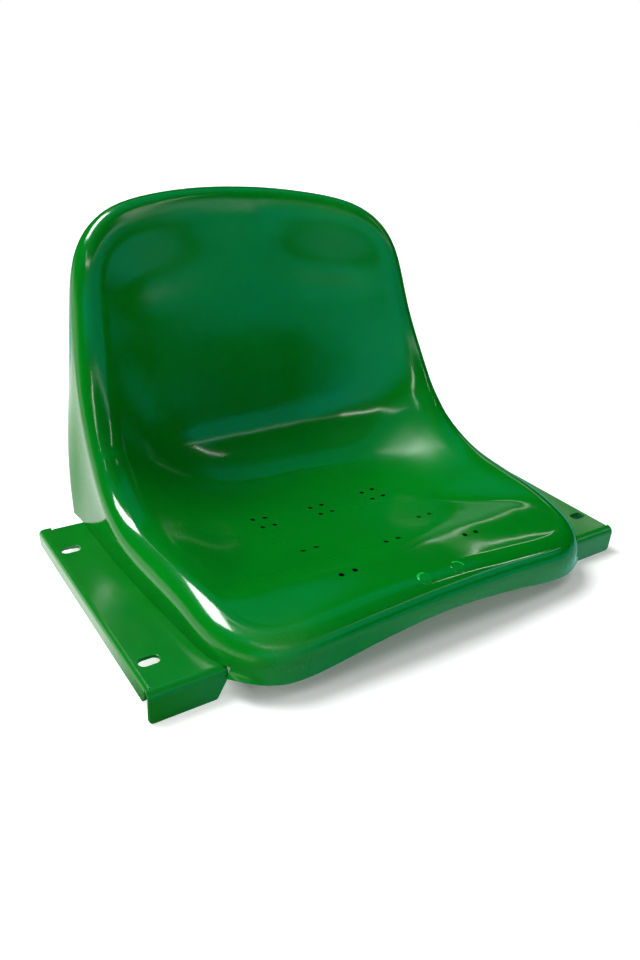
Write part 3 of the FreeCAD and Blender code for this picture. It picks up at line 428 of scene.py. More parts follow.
# ------------------------------------------------------------------ nose plugs
def plug(name, sg):
    p0 = PLUG_P * np.array([0, 1, 1]) + np.array([sg * PLUG_X, 0, 0])
    n0 = PLUG_N; ax = np.array([1.0, 0, 0]); ay = np.cross(n0, ax)
    seg = 72; rad = [0.0, 1.2, 2.4, 3.6, 4.8, 5.7] ; r = 0.7; Rr = PLUG_R
    prof = [(q, 0.0, 0.0) for q in rad] + [(Rr - r + r * math.sin(t), -(r - r * math.cos(t)), t) for t in [math.radians(15 * k) for k in range(0, 7)]]
    V, N, F = [], [], []
    for q, dz, t in prof:
        for k in range(seg if q > 0 else 1):
            th = 2 * math.pi * k / seg; e = ax * math.cos(th) + ay * math.sin(th)
            c = p0 + e * q
            co, no, kk, ds = ref.ray_cast(Vector(c + n0 * 12), Vector(-n0))
            V.append(np.array(co) + n0 * (PLUG_PROUD + dz))
            dd, nn = on_ref([co]); N.append(unit(nn[0] * math.cos(t) + e * math.sin(t)))
    base = len(V)
    for k in range(seg):     # skirt
        V.append(V[base - seg + k] - n0 * 3.0); N.append(N[base - seg + k])
    V.append(p0 - n0 * 5.0); N.append(-n0)
    for k in range(seg):
        F.append((0, 1 + k, 1 + (k + 1) % seg))
    for j in range(len(prof) - 1):
        for k in range(seg):
            a, b = 1 + j * seg + k, 1 + j * seg + (k + 1) % seg
            F.append((a, a + seg, b + seg, b))
    for k in range(seg): F.append((base + k, len(V) - 1, base + (k + 1) % seg))
    if volume(V, F) < 0: F = [tuple(reversed(f)) for f in F]
    # painted highlight: a pale crescent along part of the rim
    w = []
    for v in V:
        d = np.array(v) - p0; cx, cy = d @ ax, d @ ay; q = math.hypot(cx, cy)
        w.append(min(1.0, max(0.0, (q - 5.0) / 0.9)) * min(1.0, max(0.0, (math.cos(math.atan2(cy, cx) - math.radians(GLINT_ANGLE[sg])) - 0.45) / 0.3)))
    ob = new_object(name, V, F, N)
    ob.data.attributes.new("painted_glint", "FLOAT", "POINT").data.foreach_set("value", np.array(w, np.float32))
    return ob
# angle round each plug where its painted highlight crescent sits
GLINT_ANGLE = {-1: 120.0, 1: 50.0}
PLUG_PROUD = 0.22
plug_l, plug_r = plug("plug_left", -1), plug("plug_right", 1)

# ------------------------------------------------------------------ folded side brackets
GAUGE, TOPZ, LEN, RF, RR, RL, XO = 3.0, PLATE_Z, 247.0, 7.0, 5.0, 4.5, 250.0
LIPH, ER = 14.3, 0.5
HALFPI = math.pi / 2
U_LIP = XO - RL; V_FR = RF; V_RE = LEN - RR
V0_ = V_FR - RF * HALFPI - (TOPZ - RF)            # floor edge of the front wall
V1_ = V_RE + RR * HALFPI + (TOPZ - RR)            # floor edge of the rear wall
U1_ = U_LIP + RL * HALFPI + (LIPH - RL)           # lower edge of the side lip
def vz_front(z): return V_FR - RF * HALFPI - (TOPZ - RF - z)
def vz_rear(z): return V_RE + RR * HALFPI + (TOPZ - RR - z)
NOTCH0, NOTCH1 = 7.3, 7.7
def fold(u, v, w):
    """flat pattern (u across, v along, w depth below the top face <= 0) -> point, axes"""
    x, y, z = u, v, TOPZ + w
    eu, ev, ew = (1, 0, 0), (0, 1, 0), (0, 0, 1)
    if v < V_FR:
        ph = min((V_FR - v) / RF, HALFPI); rest = (V_FR - v) - ph * RF; s, c = math.sin(ph), math.cos(ph)
        y = V_FR - (RF + w) * s; z = TOPZ - RF + (RF + w) * c - rest
        ev, ew = (0, c, s), (0, -s, c)
    elif v > V_RE and u < 238.3:
        ph = min((v - V_RE) / RR, HALFPI); rest = (v - V_RE) - ph * RR; s, c = math.sin(ph), math.cos(ph)
        y = V_RE + (RR + w) * s; z = TOPZ - RR + (RR + w) * c - rest
        ev, ew = (0, c, -s), (0, s, c)
    elif u > U_LIP and v > (NOTCH0 + NOTCH1) / 2:
        ph = min((u - U_LIP) / RL, HALFPI); rest = (u - U_LIP) - ph * RL; s, c = math.sin(ph), math.cos(ph)
        x = U_LIP + (RL + w) * s; z = TOPZ - RL + (RL + w) * c - rest
        eu, ew = (c, 0, -s), (s, 0, c)
    return (x, y, z), (eu, ev, ew)
def rounded(poly, seg=6):
    """polygon [(u,v,r)] counter-clockwise -> points with rounded corners"""
    out = []; n = len(poly)
    for i, (u, v, r) in enumerate(poly):
        if r <= 0: out.append((u, v)); continue
        a = np.array(poly[i - 1][:2]) - (u, v); b = np.array(poly[(i + 1) % n][:2]) - (u, v)
        la, lb = np.linalg.norm(a), np.linalg.norm(b); a, b = a / la, b / lb
        ang = math.acos(max(-1, min(1, float(a @ b)))); t = min(r / math.tan(ang / 2), la * 0.49, lb * 0.49); r = t * math.tan(ang / 2)
        c = np.array((u, v)) + unit(a + b) * (r / math.sin(ang / 2))
        p, q = np.array((u, v)) + a * t - c, np.array((u, v)) + b * t - c
        a0, a1 = math.atan2(p[1], p[0]), math.atan2(q[1], q[0])
        dlt = (a1 - a0 + math.pi) % (2 * math.pi) - math.pi
        for k in range(seg + 1):
            th = a0 + dlt * k / seg; out.append((c[0] + r * math.cos(th), c[1] + r * math.sin(th)))
    return out
def inset(pts, d):
    """moves a closed polyline to its left by d (inward for a counter-clockwise one)"""
    P = np.array(pts); A, B = np.roll(P, 1, 0), np.roll(P, -1, 0)
    e1, e2 = unit(P - A), unit(B - P)
    n1, n2 = np.stack([-e1[:, 1], e1[:, 0]], 1), np.stack([-e2[:, 1], e2[:, 0]], 1)
    m = unit(n1 + n2); k = np.maximum((m * n1).sum(1), 0.3)
    return P + m * (d / k)[:, None]
def bracket(name, sg):
    outline = [(188.4, V_FR + 6.0, 1.2), (188.4, vz_front(17.0), 2.0), (197.0, V0_, 2.5), (XO, V0_, 4.0), (XO, NOTCH0, 0.3),
               (U_LIP - 0.2, NOTCH0, 0.15), (U_LIP - 0.2, NOTCH1, 0.15), (U1_ - 6.0, NOTCH1, 1.5), (U1_, NOTCH1 + 4.0, 2.5),
               (U1_, LEN - 4.0, 2.5), (U1_ - 7.0, LEN, 3.0), (238.9, LEN, 0.9), (238.9, V_RE - 0.6, 0.4), (238.0, V_RE - 0.6, 0.4),
               (238.0, vz_rear(20.5), 2.0), (222.0, V1_, 2.5), (152.0, V1_, 1.5), (152.0, V_FR + 6.0, 1.5)]
    P = inset(rounded(outline), ER)
    # orientation: counter-clockwise
    def area(Q): return 0.5 * float(np.sum(Q[:, 0] * np.roll(Q[:, 1], -1) - np.roll(Q[:, 0], -1) * Q[:, 1]))
    if area(P) < 0:
        P = inset(rounded(outline)[::-1], ER)
    loops = [P]
    for y in (34.3, 34.3 + 169.0):
        hw, dd = 4.75 + ER, 3.5; q = []
        for k in range(17): t = -HALFPI + math.pi * k / 16; q.append((235.0 + dd + hw * math.cos(t), y + hw * math.sin(t)))
        for k in range(17): t = HALFPI + math.pi * k / 16; q.append((235.0 - dd + hw * math.cos(t), y + hw * math.sin(t)))
        loops.append(np.array(q)[::-1])
    for y in BOSS_Y:
        loops.append(np.array([(BOSS_X + (3.3 + ER) * math.cos(2 * math.pi * k / 32), y + (3.3 + ER) * math.sin(2 * math.pi * k / 32)) for k in range(32)])[::-1])
    pts, edges = [], []
    for Q in loops:
        o = len(pts); pts += [Vector(q) for q in Q]; edges += [(o + k, o + (k + 1) % len(Q)) for k in range(len(Q))]
    def line(a, b):
        o = len(pts); pts.extend([Vector(a), Vector(b)]); edges.append((o, o + 1))
    for k in range(11): v = V_FR - RF * HALFPI * k / 10; line((180, v), (256, v))
    for k in range(9): v = V_RE + RR * HALFPI * k / 8; line((146, v), (238.45, v))
    for k in range(9): u = U_LIP + RL * HALFPI * k / 8; line((u, NOTCH1 - 0.3), (u, LEN + 3))
    for v in np.arange(20, 240, 20): line((146, v), (U_LIP, v))
    cv, ce, cf, ov, oe, of_ = delaunay_2d_cdt(pts, edges, [], 0, 1e-5)
    C = np.array([(p.x, p.y) for p in cv])
    def inside(Q, p):
        x, y = p; xi, yi = Q[:, 0], Q[:, 1]; xj, yj = np.roll(xi, 1), np.roll(yi, 1)
        c = ((yi > y) != (yj > y)) & (x < (xj - xi) * (y - yi) / (yj - yi + 1e-30) + xi)
        return bool(c.sum() % 2)
    tri = []
    for f in cf:
        q = C[list(f)]; m = q.mean(0)
        a2 = (q[1][0] - q[0][0]) * (q[2][1] - q[0][1]) - (q[2][0] - q[0][0]) * (q[1][1] - q[0][1])
        if abs(a2) < 1e-9: continue
        if inside(loops[0], m) and not any(inside(Q, m) for Q in loops[1:]):
            tri.append(tuple(f) if a2 > 0 else (f[0], f[2], f[1]))
    used = {}
    for t in tri:
        for a, b in ((t[0], t[1]), (t[1], t[2]), (t[2], t[0])): used[(a, b)] = used.get((a, b), 0) + 1
    border = [(a, b) for a, b in used if (b, a) not in used]
    nxt = {a: b for a, b in border}; prv = {b: a for a, b in border}
    keep = sorted({a for t in tri for a in t}); top = {a: i for i, a in enumerate(keep)}
    prof = [(ER * math.sin(t), -ER + ER * math.cos(t), math.sin(t), math.cos(t)) for t in [HALFPI * k / 4 for k in range(1, 5)]]
    prof += [(ER * math.cos(t), -GAUGE + ER - ER * math.sin(t), math.cos(t), -math.sin(t)) for t in [HALFPI * k / 4 for k in range(0, 5)]]
    V, N, F = [], [], []
    def put(u, v, w, n2, nw):
        # the fold's own axes are taken where the sheet is, so that the rounded edge stays on its side of a fold
        p, (eu, ev, ew) = fold(u, v, w)
        n = np.array(eu) * n2[0] + np.array(ev) * n2[1] + np.array(ew) * nw
        V.append(np.array(p)); N.append(n / np.linalg.norm(n))
    for a in keep: put(C[a][0], C[a][1], 0.0, (0, 0), 1.0)
    F += [tuple(top[a] for a in t) for t in tri]
    strip = {}
    for a in nxt:
        e1, e2 = unit(C[a] - C[prv[a]]), unit(C[nxt[a]] - C[a])
        m = unit(np.array([e1[1] + e2[1], -e1[0] - e2[0]]))
        strip[a] = len(V)
        for off, w, sn, cs in prof[:-1]: put(C[a][0] + m[0] * off, C[a][1] + m[1] * off, w, (m[0] * sn, m[1] * sn), cs)
    bot = {}
    for a in keep: bot[a] = len(V); put(C[a][0], C[a][1], -GAUGE, (0, 0), -1.0)
    F += [(bot[t[0]], bot[t[2]], bot[t[1]]) for t in tri]
    m = len(prof) - 1
    for a, b in border:
        ca = [top[a]] + [strip[a] + k for k in range(m)] + [bot[a]]
        cb = [top[b]] + [strip[b] + k for k in range(m)] + [bot[b]]
        for k in range(len(ca) - 1): F.append((ca[k], ca[k + 1], cb[k + 1], cb[k]))
    V, N = np.array(V), np.array(N)
    if sg < 0:
        V[:, 0] *= -1; N[:, 0] *= -1; F = [tuple(reversed(f)) for f in F]
    if volume(V, F) < 0: F = [tuple(reversed(f)) for f in F]
    return new_object(name, V, F, N)
brk_l, brk_r = bracket("bracket_left", -1), bracket("bracket_right", 1)

# ------------------------------------------------------------------ materials
class Mat:
    def __init__(self, name):
        self.m = bpy.data.materials.new(name); self.m.use_nodes = True
        self.t = self.m.node_tree; self.t.nodes.clear()
        self.out = self.t.nodes.new("ShaderNodeOutputMaterial")
        self.b = self.t.nodes.new("ShaderNodeBsdfPrincipled")
        self.t.links.new(self.b.outputs[0], self.out.inputs[0])
        self.tc = self.t.nodes.new("ShaderNodeTexCoord")
    def node(self, kind, **kw):
        n = self.t.nodes.new(kind)
        for k, v in kw.items(): setattr(n, k, v)
        return n
    def link(self, a, b): self.t.links.new(a, b)
    def noise(self, scale, detail=2.0, rough=0.5, stretch=(1, 1, 1), offset=(0, 0, 0)):
        mp = self.node("ShaderNodeMapping"); mp.inputs["Scale"].default_value = stretch; mp.inputs["Location"].default_value = offset
        self.link(self.tc.outputs["Object"], mp.inputs["Vector"])
        n = self.node("ShaderNodeTexNoise"); n.inputs["Scale"].default_value = scale
        n.inputs["Detail"].default_value = detail; n.inputs["Roughness"].default_value = rough
        self.link(mp.outputs[0], n.inputs["Vector"]); return n.outputs["Fac"]
    def ramp(self, fac, stops, interp="LINEAR"):
        r = self.node("ShaderNodeValToRGB"); r.color_ramp.interpolation = interp
        while len(r.color_ramp.elements) < len(stops): r.color_ramp.elements.new(0.5)
        for e, (p, c) in zip(r.color_ramp.elements, stops):
            e.position = p; e.color = (c, c, c, 1) if not isinstance(c, tuple) else (*c, 1)
        self.link(fac, r.inputs[0]); return r.outputs[0]
    def maprange(self, fac, a, b, c, d_):
        n = self.node("ShaderNodeMapRange"); self.link(fac, n.inputs[0])
        for i, v in zip((1, 2, 3, 4), (a, b, c, d_)): n.inputs[i].default_value = v
        return n.outputs[0]
    def math(self, op, a, b):
        n = self.node("ShaderNodeMath", operation=op)
        for i, v in enumerate((a, b)):
            if isinstance(v, (int, float)): n.inputs[i].default_value = v
            else: self.link(v, n.inputs[i])
        return n.outputs[0]
    def mix(self, fac, a, b):
        n = self.node("ShaderNodeMix", data_type="RGBA")
        if isinstance(fac, (int, float)): n.inputs[0].default_value = fac
        else: self.link(fac, n.inputs[0])
        for i, v in ((6, a), (7, b)):
            if isinstance(v, tuple): n.inputs[i].default_value = (*v, 1)
            else: self.link(v, n.inputs[i])
        return n.outputs[2]
    def bump(self, height, strength, distance, prev=None):
        n = self.node("ShaderNodeBump"); n.inputs["Strength"].default_value = strength; n.inputs["Distance"].default_value = distance
        self.link(height, n.inputs["Height"])
        if prev is not None: self.link(prev, n.inputs["Normal"])
        return n.outputs[0]

def green_plastic(name, base, rough, wear=0.0, seed=0.0, spot=None, spot_color=(0, 0, 0), spot_rough=0.5, worn=(), polished=0.0):
    M = Mat(name); b = M.b
    b.inputs["IOR"].default_value = 1.49
    # pigment: faint clouding from the moulding flow
    c1 = M.noise(9.0, 3.0, 0.55, offset=(seed, 0.3, 0.1)); c2 = M.noise(60.0, 4.0, 0.6, offset=(seed, 0, 0))
    f = M.math("ADD", M.math("MULTIPLY", c1, 0.7), M.math("MULTIPLY", c2, 0.3))
    lo, hi = tuple(c * 0.93 for c in base), tuple(c * 1.07 for c in base)
    col = M.mix(M.maprange(f, 0.35, 0.65, 0.0, 1.0), lo, hi)
    # surface: gloss with hazier patches and hairline rubs
    r1 = M.noise(24.0, 4.0, 0.6, offset=(0.2, seed, 0)); r2 = M.noise(420.0, 2.0, 0.5)
    hair = M.noise(30.0, 6.0, 0.7, stretch=(1.0, 26.0, 5.0), offset=(seed, 0.7, 0))
    rr = M.math("ADD", M.maprange(r1, 0.3, 0.75, rough * 0.82, rough * 1.3), M.maprange(r2, 0.35, 0.7, -0.012, 0.016))
    rr = M.math("ADD", rr, M.maprange(hair, 0.66, 0.78, 0.0, 0.10))
    # duller zones where backs and legs rub
    for c, near, far_, k in worn:
        dn = M.node("ShaderNodeVectorMath", operation="DISTANCE"); M.link(M.tc.outputs["Object"], dn.inputs[0]); dn.inputs[1].default_value = c
        rr = M.math("ADD", rr, M.maprange(dn.outputs["Value"], near, far_, k, 0.0))
    if polished:
        sp = M.node("ShaderNodeSeparateXYZ"); M.link(M.tc.outputs["Object"], sp.inputs[0])
        rr = M.math("ADD", rr, M.math("MULTIPLY", M.maprange(sp.outputs[1], -0.168, -0.186, 0.0, -polished), M.maprange(sp.outputs[0], -0.12, -0.04, 0.0, 1.0)))
    # the spot attribute mixes in spot_color: painted shade in the shell's drain holes, a painted highlight crescent on
    # the plugs
    if spot:
        at = M.node("ShaderNodeAttribute", attribute_name=spot).outputs["Fac"]
        at = M.maprange(at, 0.02, 0.30, 0.0, 1.0)
        rr = M.math("ADD", rr, M.math("MULTIPLY", at, spot_rough)); col = M.mix(at, col, spot_color)
        if spot == "painted_hole_shade": M.link(M.maprange(at, 0.0, 1.0, 0.5, 0.05), b.inputs["Specular IOR Level"])
    M.link(rr, b.inputs["Roughness"])
    wav = M.noise(26.0, 1.0, 0.4, offset=(0.4, 0.1, seed)); peel = M.noise(330.0, 2.0, 0.5); fine = M.noise(1500.0, 2.0, 0.5)
    n = M.bump(wav, 0.35, 0.0010)
    n = M.bump(peel, 0.10, 0.00022, n)
    n = M.bump(fine, 0.05, 0.00008, n)
    M.link(n, b.inputs["Normal"])
    if wear > 0:
        geo = M.node("ShaderNodeNewGeometry")
        edge = M.maprange(geo.outputs["Pointiness"], 0.53, 0.60, 0.0, 1.0)
        spots = M.maprange(M.noise(140.0, 3.0, 0.7, offset=(seed, 0.5, 0.2)), 0.66, 0.70, 0.0, 1.0)
        m = M.math("MULTIPLY", M.math("MULTIPLY", edge, spots), wear)
        col = M.mix(m, col, (0.32, 0.42, 0.34))
    M.link(col, b.inputs["Base Color"])
    return M.m
def metal(name, base, rough, tint, scratch=True):
    M = Mat(name); b = M.b
    b.inputs["Metallic"].default_value = 1.0
    f = M.noise(150.0, 4.0, 0.6); g = M.noise(900.0, 3.0, 0.6, stretch=(1, 1, 0.15))
    M.link(M.mix(M.maprange(f, 0.35, 0.7, 0, 1), base, tint), b.inputs["Base Color"])
    M.link(M.math("ADD", M.maprange(f, 0.3, 0.7, rough * 0.8, rough * 1.25), M.maprange(g, 0.4, 0.7, 0.0, 0.08)), b.inputs["Roughness"])
    M.link(M.bump(g, 0.25, 0.00012), b.inputs["Normal"])
    return M.m

G_SHELL = (0.0006, 0.168, 0.0080)
# the near-black spot colour is painted shade on the drain-hole walls
m_shell = green_plastic("shell_green_gloss", G_SHELL, 0.105, spot="painted_hole_shade", spot_color=(0.0006, 0.0020, 0.0008), spot_rough=0.6,
                        worn=(((-0.085, 0.155, 0.245), 0.00, 0.110, 0.13), ((0.100, 0.150, 0.250), 0.00, 0.100, 0.13), ((0.150, 0.010, 0.055), 0.01, 0.06, 0.12), ((-0.150, -0.200, 0.043), 0.01, 0.05, 0.20)), polished=0.06)
# the pale spot colour on the plugs is a painted highlight
m_plug = green_plastic("plug_green_gloss", tuple(c * 1.04 for c in G_SHELL), 0.13, seed=0.6, spot="painted_glint", spot_color=(0.006, 0.42, 0.05), spot_rough=0.12)
m_brk = green_plastic("bracket_green_paint", (0.0007, 0.166, 0.0085), 0.20, wear=0.9, seed=1.3)
m_brass = metal("insert_brass", (0.72, 0.52, 0.22), 0.28, (0.80, 0.62, 0.30))
m_zinc = metal("zinc_plate", (0.60, 0.61, 0.62), 0.30, (0.70, 0.70, 0.68))

def dress(ob, mat):
    ob.data.materials.clear(); ob.data.materials.append(mat)
    for p in ob.data.polygons: p.material_index = 0
for ob, mat, slot in ((shell, m_shell, "shell_green"), (plug_l, m_plug, "plug_green"), (plug_r, m_plug, "plug_green"),
                      (brk_l, m_brk, "bracket_green"), (brk_r, m_brk, "bracket_green")):
    dress(ob, mat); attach(ob, "root")
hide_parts("seat_shell")
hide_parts("left_nose_plug"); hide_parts("right_nose_plug")
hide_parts("left_side_bracket"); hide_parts("right_side_bracket")
for n in ("left_boss_inserts", "right_boss_inserts"): dress(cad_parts[n], m_brass)
for n in ("left_bracket_washers", "right_bracket_washers", "left_bracket_screws", "right_bracket_screws"): dress(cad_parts[n], m_zinc)

WORLD_FILL, FLOOR_GLOW, FLOOR_GLOW_FAR = 0.02, 0.18, 0.50

# ------------------------------------------------------------------ floor, backdrop and lights
def stage_mesh(name, V, F, mat, smooth=True):
    me = bpy.data.meshes.new(name); me.from_pydata(V, [], F); me.update()
    for p in me.polygons: p.use_smooth = smooth
    ob = bpy.data.objects.new(name, me); bpy.context.scene.collection.objects.link(ob)
    ob.data.materials.append(mat); return ob
Mf = Mat("floor_pale"); Mf.b.inputs["Roughness"].default_value = 0.8; Mf.b.inputs["Specular IOR Level"].default_value = 0.2
Mf.link(Mf.mix(Mf.maprange(Mf.noise(3.0, 3.0, 0.5), 0.3, 0.7, 0, 1), (0.86, 0.86, 0.86), (0.88, 0.88, 0.88)), Mf.b.inputs["Base Color"])
# faint glow that evens out the floor, stronger far from the seat; it is cut away under the seat as painted shade, and
# adds painted light on the floor under the left bracket's slots
_tc = Mf.tc.outputs["Object"]
_len = Mf.node("ShaderNodeVectorMath", operation="LENGTH"); Mf.link(_tc, _len.inputs[0])
Mf.b.inputs["Emission Color"].default_value = (1, 1, 1, 1)
_sep = Mf.node("ShaderNodeSeparateXYZ"); Mf.link(_tc, _sep.inputs[0])
_ax, _ay = Mf.math("ABSOLUTE", _sep.outputs[0], 0.0), Mf.math("ABSOLUTE", _sep.outputs[1], 0.0)
# painted shade: no floor glow under the seat
_painted_shade_under = Mf.math("MULTIPLY", Mf.maprange(_ax, 0.150, 0.235, 1.0, 0.0), Mf.maprange(_ay, 0.12, 0.25, 1.0, 0.0))
# painted light: extra floor glow under the left bracket, seen through its slots
_painted_slot_light = Mf.math("MULTIPLY", Mf.maprange(_sep.outputs[0], -0.170, -0.185, 0.0, 1.0), Mf.maprange(_ay, 0.14, 0.20, 1.0, 0.0))
_glow = Mf.math("MULTIPLY", Mf.maprange(_len.outputs["Value"], 0.35, 2.6, FLOOR_GLOW, FLOOR_GLOW_FAR), Mf.math("SUBTRACT", 1.0, _painted_shade_under))
Mf.link(Mf.math("ADD", _glow, Mf.math("MULTIPLY", _painted_slot_light, 0.55)), Mf.b.inputs["Emission Strength"])
S = 9.0
floor = stage_mesh("floor", [(-S, -S, 0), (S, -S, 0), (S, S, 0), (-S, S, 0)], [(0, 1, 2, 3)], Mf.m, False)
# white surround that only the camera sees
Md = bpy.data.materials.new("surround_white"); Md.use_nodes = True; nt = Md.node_tree; nt.nodes.clear()
em = nt.nodes.new("ShaderNodeEmission"); em.inputs[0].default_value = (1, 1, 1, 1); em.inputs[1].default_value = 1.0
o_ = nt.nodes.new("ShaderNodeOutputMaterial"); nt.links.new(em.outputs[0], o_.inputs[0])
seg, rings = 48, 12; V, F = [], []
for j in range(rings + 1):
    ph = math.radians(-4 + 94 * j / rings)
    for k in range(seg):
        th = 2 * math.pi * k / seg; V.append((8.9 * math.cos(th) * math.cos(ph), 8.9 * math.sin(th) * math.cos(ph), 8.9 * math.sin(ph)))
for j in range(rings):
    for k in range(seg): F.append((j * seg + k, j * seg + (k + 1) % seg, (j + 1) * seg + (k + 1) % seg, (j + 1) * seg + k))
dome = stage_mesh("surround", V, F, Md)
dome.visible_diffuse = dome.visible_glossy = dome.visible_transmission = dome.visible_shadow = False
dome.visible_volume_scatter = False

# reflection-only surround: soft light fields by direction, and the floor as the gloss sees it
def glow_mesh(name, V, F, cols):
    me = bpy.data.meshes.new(name); me.from_pydata([tuple(v) for v in V], [], F); me.update()
    at = me.color_attributes.new("glow", "FLOAT_COLOR", "POINT")
    buf = np.ones((len(V), 4)); buf[:, :3] = cols; at.data.foreach_set("color", buf.ravel().astype(np.float32))
    m = bpy.data.materials.new(name + "_glow"); m.use_nodes = True; nt = m.node_tree; nt.nodes.clear()
    ca = nt.nodes.new("ShaderNodeVertexColor"); ca.layer_name = "glow"
    em = nt.nodes.new("ShaderNodeEmission"); o = nt.nodes.new("ShaderNodeOutputMaterial")
    nt.links.new(ca.outputs[0], em.inputs[0]); nt.links.new(em.outputs[0], o.inputs[0])
    ob = bpy.data.objects.new(name, me); bpy.context.scene.collection.objects.link(ob); ob.data.materials.append(m)
    for p in me.polygons: p.use_smooth = True
    ob.visible_camera = ob.visible_diffuse = ob.visible_transmission = ob.visible_shadow = ob.visible_volume_scatter = False
    return ob
def soft(v, a, b, s0, s1=None):
    """1 between a and b with soft ends"""
    s1 = s0 if s1 is None else s1
    def st(t): t = np.clip(t, 0, 1); return t * t * (3 - 2 * t)
    return st((v - a) / s0 + 0.5) * st((b - v) / s1 + 0.5)
TEAL = np.array([0.03, 0.90, 0.86]); WHITE = np.array([1.0, 1.0, 1.0])
def sky(az, el):
    """radiance by azimuth (0 behind the seat, 90 on its +X side) and elevation, degrees"""
    E = np.zeros(az.shape + (3,))
    def put(w, c, k): E[...] += (w * k)[..., None] * c
    put(soft(az,120,232,14)*soft(el,15.5,32,2.5,9), TEAL, 0.88)
    put(soft(az,124,150,9)*soft(el,4,17,3,3), TEAL, 0.15)
    put(soft(az,100,205,14)*soft(el,-12,6.0,4,3), TEAL, 0.85)
    put(soft(az,170,216,12)*soft(el,2,16,4,3), TEAL, 0.25)
    put(soft(az,155,216,14)*soft(el,19,36,4,10), TEAL, 0.45)
    put(soft(az,158,190,8)*soft(el,5,15,3,3), TEAL, 0.34)
    put(soft(el,44,99,16)*(1-0.85*soft(az,95,225,25)), TEAL, 0.50)
    put(soft(az,38,62,6,14)*soft(el,5,17,4,12), np.array([0.5,1.0,0.75]), 0.42)
    put(soft(az,225,330,20)*soft(el,-3,12,1,12), WHITE, 1.2)
    return E
# glow the gloss sees in place of the floor: bright on the -X side, dimmer close to the seat as a painted floor shadow
def ground(x, y):
    E = np.zeros(x.shape + (3,))
    def put(w, c, k): E[...] += (w * k)[..., None] * c
    left = soft(x,-4,-0.21,0.1,0.06)
    far = soft(np.hypot(x,y),0.9,9,0.3)*soft(y,-9,0.4,0.3)*soft(x,-1.2,9,0.6)
    put(far, TEAL, 0.75)
    put(left*soft(y,-0.10,0.72,0.12,0.35), WHITE, 1.75)
    put(left*soft(y,0.72,4,0.35,0.5), WHITE, 0.75)
    put((1-left)*(1-far), WHITE, 0.05)
    put((1-left)*(1-far), TEAL, 0.50)
    put((1-left)*(1-far)*soft(x,-0.02,0.9,0.12,0.4)*soft(y,-1.5,-0.12,0.3,0.05), WHITE, 0.26)
    return E
RAD = 3.0; C0 = np.array([0.0, -0.026, 0.1])
azs = np.arange(0, 360, 1.0); els = np.concatenate([np.arange(-2, 50, 0.8), np.arange(50, 90.1, 2.0)])
A, Eg = np.meshgrid(azs, els); ar, er = np.radians(A), np.radians(Eg)
V = (C0 + RAD * np.stack([np.sin(ar) * np.cos(er), np.cos(ar) * np.cos(er), np.sin(er)], -1)).reshape(-1, 3)
n_az = len(azs); F = [(j * n_az + k, j * n_az + (k + 1) % n_az, (j + 1) * n_az + (k + 1) % n_az, (j + 1) * n_az + k) for j in range(len(els) - 1) for k in range(n_az)]
glow_mesh("reflected_surround", V, F, sky(A, Eg).reshape(-1, 3))
gx = np.concatenate([np.linspace(-3, -0.8, 12)[:-1], np.linspace(-0.8, 0.8, 81), np.linspace(0.8, 3, 12)[1:]]); gy = gx
GX, GY = np.meshgrid(gx, gy); n_g = len(gx)
V = np.stack([GX, GY, np.full(GX.shape, -0.004)], -1).reshape(-1, 3)
F = [(j * n_g + k, j * n_g + k + 1, (j + 1) * n_g + k + 1, (j + 1) * n_g + k) for j in range(n_g - 1) for k in range(n_g - 1)]
glow_mesh("reflected_floor", V, F, ground(GX, GY).reshape(-1, 3))
floor.visible_glossy = False

world = bpy.data.worlds.new("world"); bpy.context.scene.world = world; world.use_nodes = True
bg = world.node_tree.nodes["Background"]; bg.inputs[0].default_value = (1, 1, 1, 1); bg.inputs[1].default_value = WORLD_FILL
world.cycles_visibility.glossy = False

def sun(name, az, el, strength, angle, color=(1, 1, 1)):
    L = bpy.data.lights.new(name, "SUN"); L.energy = strength; L.angle = math.radians(angle); L.color = color
    ob = bpy.data.objects.new(name, L); bpy.context.scene.collection.objects.link(ob)
    a, e = math.radians(az), math.radians(el)
    v = -Vector((math.sin(a) * math.cos(e), math.cos(a) * math.cos(e), math.sin(e)))
    ob.matrix_world = v.to_track_quat("-Z", "Y").to_matrix().to_4x4()
    ob.visible_glossy = False; ob.visible_camera = False
    return ob

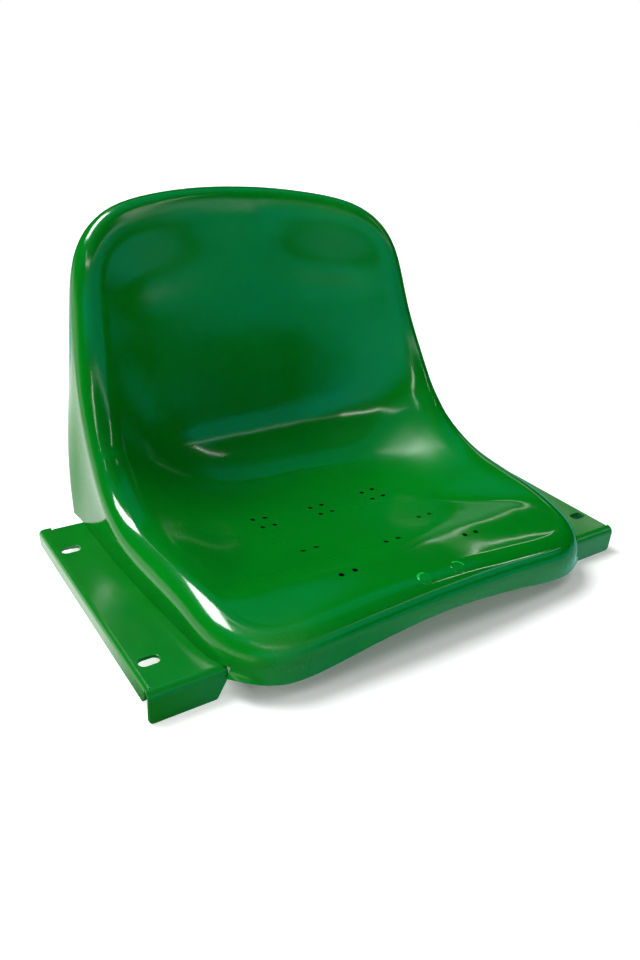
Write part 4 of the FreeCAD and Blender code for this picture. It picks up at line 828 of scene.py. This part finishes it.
def area(name, at, look, size, power, color=(1, 1, 1), glossy=True, diffuse=True, shape="RECTANGLE", spread=180):
    L = bpy.data.lights.new(name, "AREA"); L.shape = shape; L.size, L.size_y = size; L.energy = power; L.color = color
    L.spread = math.radians(spread)
    ob = bpy.data.objects.new(name, L); bpy.context.scene.collection.objects.link(ob)
    v = Vector(look) - Vector(at)
    ob.matrix_world = Matrix.Translation(Vector(at)) @ v.to_track_quat("-Z", "Y").to_matrix().to_4x4()
    ob.visible_glossy = glossy; ob.visible_diffuse = diffuse; ob.visible_camera = False
    return ob
def card(name, at, look, size, radiance, color=(1, 1, 1)):
    """softbox or strip that shows only as a reflection"""
    return area(name, at, look, size, 4.0 * size[0] * size[1] * radiance, color, True, False)
def around(az, el, D, o=(0.0, -0.026, 0.1)):
    a, e = math.radians(az), math.radians(el)
    return (o[0] + D * math.sin(a) * math.cos(e), o[1] + D * math.cos(a) * math.cos(e), o[2] + D * math.sin(e))

SEAT = (0.0, -0.026, 0.1)
# broad daylight: one main soft sun from behind the seat's right-hand side, weaker ones around it
for k, (az, el, power) in enumerate(((320, 60, 2.58), (275, 18, 1.36), (0, 18, 0.60), (24, 32, 0.16), (192, 32, 0.40), (200, 60, 0.10), (180, 75, 0.64))):
    sun("daylight_%d" % k, az, el, power, 28)
def band(name, a, b, h, radiance, look=SEAT):
    """long thin lamp from a to b that shows only as a reflection"""
    a, b, look = Vector(a), Vector(b), Vector(look); c = (a + b) / 2
    ob = card(name, c, look, ((b - a).length, h), radiance)
    X = (b - a).normalized(); Z = c - look; Z = (Z - X * Z.dot(X)).normalized(); Y = Z.cross(X)
    ob.matrix_world = Matrix.Translation(c) @ Matrix((X, Y, Z)).transposed().to_4x4()
    return ob
band("front_right", (2.53, -1.15, 1.30), (0.90, -1.66, 1.30), 0.075, 1.5)
band("front_mid", (0.90, -1.66, 1.30), (0.04, -1.42, 1.30), 0.085, 0.8)
band("front_left", (0.04, -1.42, 1.30), (-0.68, -0.94, 1.30), 0.085, 7.0)
band("side_left", (-0.68, -0.94, 1.30), (-0.72, -0.42, 1.30), 0.085, 3.5)
card("side_tall", around(117, 38, 2.7), SEAT, (0.045, 0.95), 12.0)
card("back_core", around(-36, 61, 2.2), SEAT, (1.35, 0.60), 20.0)
card("back_halo", (0.04, 0.74, 2.03), (0.15, 0.0, 0.05), (0.18, 0.20), 2.3)
card("right_back", around(57, 23, 2.3), SEAT, (0.95, 0.06), 2.6)

bpy.context.scene.view_settings.view_transform = "Standard"
bpy.context.scene.view_settings.look = "None"
bpy.context.view_layer.update()
